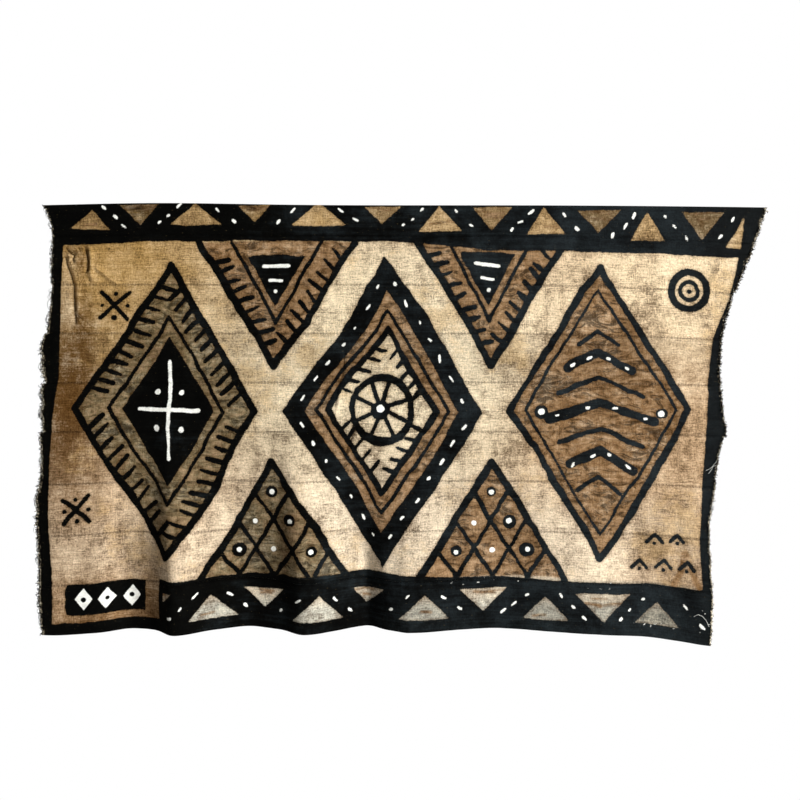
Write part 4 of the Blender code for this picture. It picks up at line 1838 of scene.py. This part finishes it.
class MUDCLOTH_OT_strips(bpy.types.Operator):
    """Weave, dye, paint and hang the nine strips"""

    bl_idname = "mud_cloth.strips"
    bl_label = "Woven strips"

    def execute(self, context):
        for number in range(STRIP_COUNT):
            make_strip(number)
        return {"FINISHED"}


class MUDCLOTH_OT_seams(bpy.types.Operator):
    """Sew the strips together with whip stitches"""

    bl_idname = "mud_cloth.seams"
    bl_label = "Sewn seams"

    def execute(self, context):
        for number in range(STRIP_COUNT - 1):
            make_seam(number)
        return {"FINISHED"}


class MUDCLOTH_OT_fray(bpy.types.Operator):
    """Fray the cut ends of the strips and leave a few loose threads"""

    bl_idname = "mud_cloth.fray"
    bl_label = "Frayed ends"

    def execute(self, context):
        make_fray("fray_left", -1)
        make_fray("fray_right", 1)
        radius = sizes().yarn_radius
        yarn_piece("loose_threads", loose_threads(), radius, MIDDLE_STRIP, white_yarn, unpainted)
        return {"FINISHED"}


class MUDCLOTH_OT_stage(bpy.types.Operator):
    """Set up the floor, the soft lights, the sky and the camera"""

    bl_idname = "mud_cloth.stage"
    bl_label = "Stage"

    IMAGE_CENTRE = (-0.0104, -0.4547)
    CLOTH_PLANE = -0.0150
    FLOOR_SIZE = (4.4, 3.4)
    FLOOR_MIDDLE = -0.9
    LIGHTS = {
        "key": ((7.6, -3.5, 0.6), 2.4),
        "fill": ((-2.6, -4.4, 0.8), 2.4),
        "back": ((1.6, 4.2, 1.4), 2.6),
    }

    def execute(self, context):
        settings = context.scene.mud_cloth_stage
        self.make_floor(settings)
        for name, (place, size) in self.LIGHTS.items():
            self.make_light(name + "_light", place, size, getattr(settings, name + "_power"))
        self.make_sky(context.scene, settings)
        self.make_camera(context.scene, settings)
        context.scene.view_settings.view_transform = "Standard"
        return {"FINISHED"}

    def make_floor(self, settings):
        shape = bmesh.new()
        bmesh.ops.create_grid(shape, x_segments=1, y_segments=1, size=0.5)
        bmesh.ops.scale(shape, verts=shape.verts, vec=(*self.FLOOR_SIZE, 1.0))
        height = SOLID_BOUNDS[0][2] - settings.floor_drop
        bmesh.ops.translate(shape, verts=shape.verts, vec=(0.0, self.FLOOR_MIDDLE, height))
        mesh = bpy.data.meshes.new("floor")
        shape.to_mesh(mesh)
        shape.free()
        floor = bpy.data.objects.new("floor", mesh)
        bpy.context.scene.collection.objects.link(floor)
        material = bpy.data.materials.new("pale_floor")
        maker = NodeMaker(material)
        surface = maker.node("BsdfPrincipled", sockets={
            "Base Color": (*settings.floor_colour, 1.0), "Roughness": 0.85})
        maker.node("OutputMaterial", sockets={"Surface": surface})
        mesh.materials.append(material)

    def make_light(self, name, place, size, power):
        light = bpy.data.lights.new(name, "AREA")
        light.size = size
        light.energy = power
        lamp = bpy.data.objects.new(name, light)
        lamp.location = place
        target = Vector((0.0, 0.0, self.IMAGE_CENTRE[1]))
        lamp.rotation_euler = (target - Vector(place)).to_track_quat("-Z", "Y").to_euler()
        bpy.context.scene.collection.objects.link(lamp)

    def make_sky(self, scene, settings):
        """A white backdrop for the camera, and a dimmer even light on the cloth."""
        world = bpy.data.worlds.new("soft_sky")
        scene.world = world
        world.use_nodes = True
        nodes, links = world.node_tree.nodes, world.node_tree.links
        nodes.clear()
        path = nodes.new("ShaderNodeLightPath")
        seen, light = nodes.new("ShaderNodeBackground"), nodes.new("ShaderNodeBackground")
        seen.inputs["Color"].default_value = (1.0, 1.0, 1.0, 1.0)
        light.inputs["Color"].default_value = (1.0, 1.0, 1.0, 1.0)
        light.inputs["Strength"].default_value = settings.sky_strength
        either = nodes.new("ShaderNodeMixShader")
        output = nodes.new("ShaderNodeOutputWorld")
        links.new(path.outputs["Is Camera Ray"], either.inputs[0])
        links.new(light.outputs[0], either.inputs[1])
        links.new(seen.outputs[0], either.inputs[2])
        links.new(either.outputs[0], output.inputs["Surface"])

    def make_camera(self, scene, settings):
        data = bpy.data.cameras.new("camera")
        data.lens = settings.camera_lens
        data.sensor_width = 36.0
        camera = bpy.data.objects.new("camera", data)
        x, z = self.IMAGE_CENTRE
        camera.location = (x, self.CLOTH_PLANE - settings.camera_distance, z)
        camera.rotation_euler = (math.pi / 2, 0.0, 0.0)
        scene.collection.objects.link(camera)
        scene.camera = camera


class MUDCLOTH_PT_panel(bpy.types.Panel):
    """Lists the steps of making the cloth"""

    bl_idname = "MUDCLOTH_PT_panel"
    bl_label = "Mud Cloth"
    bl_space_type = "VIEW_3D"
    bl_region_type = "UI"
    bl_category = "Mud Cloth"

    def draw(self, context):
        for group in GROUPS:
            box = self.layout.box()
            for name in GROUPS[group].__annotations__:
                box.prop(getattr(context.scene, group), name)
        for operator in OPERATORS:
            self.layout.operator(operator.bl_idname)


OPERATORS = (MUDCLOTH_OT_strips, MUDCLOTH_OT_seams, MUDCLOTH_OT_fray, MUDCLOTH_OT_stage)
GROUPS = {
    "mud_cloth_sizes": MudClothSizes,
    "mud_cloth_colours": MudClothColours,
    "mud_cloth_stage": MudClothStage,
}
CLASSES = (*GROUPS.values(), *OPERATORS, MUDCLOTH_PT_panel)


def register():
    for item in CLASSES:
        bpy.utils.register_class(item)
    for name, group in GROUPS.items():
        setattr(bpy.types.Scene, name, PointerProperty(type=group))


def unregister():
    for name in GROUPS:
        delattr(bpy.types.Scene, name)
    for item in reversed(CLASSES):
        bpy.utils.unregister_class(item)


def main():
    register()
    bpy.ops.mud_cloth.strips()
    bpy.ops.mud_cloth.seams()
    bpy.ops.mud_cloth.fray()
    bpy.ops.mud_cloth.stage()


if __name__ == "__main__":
    main()
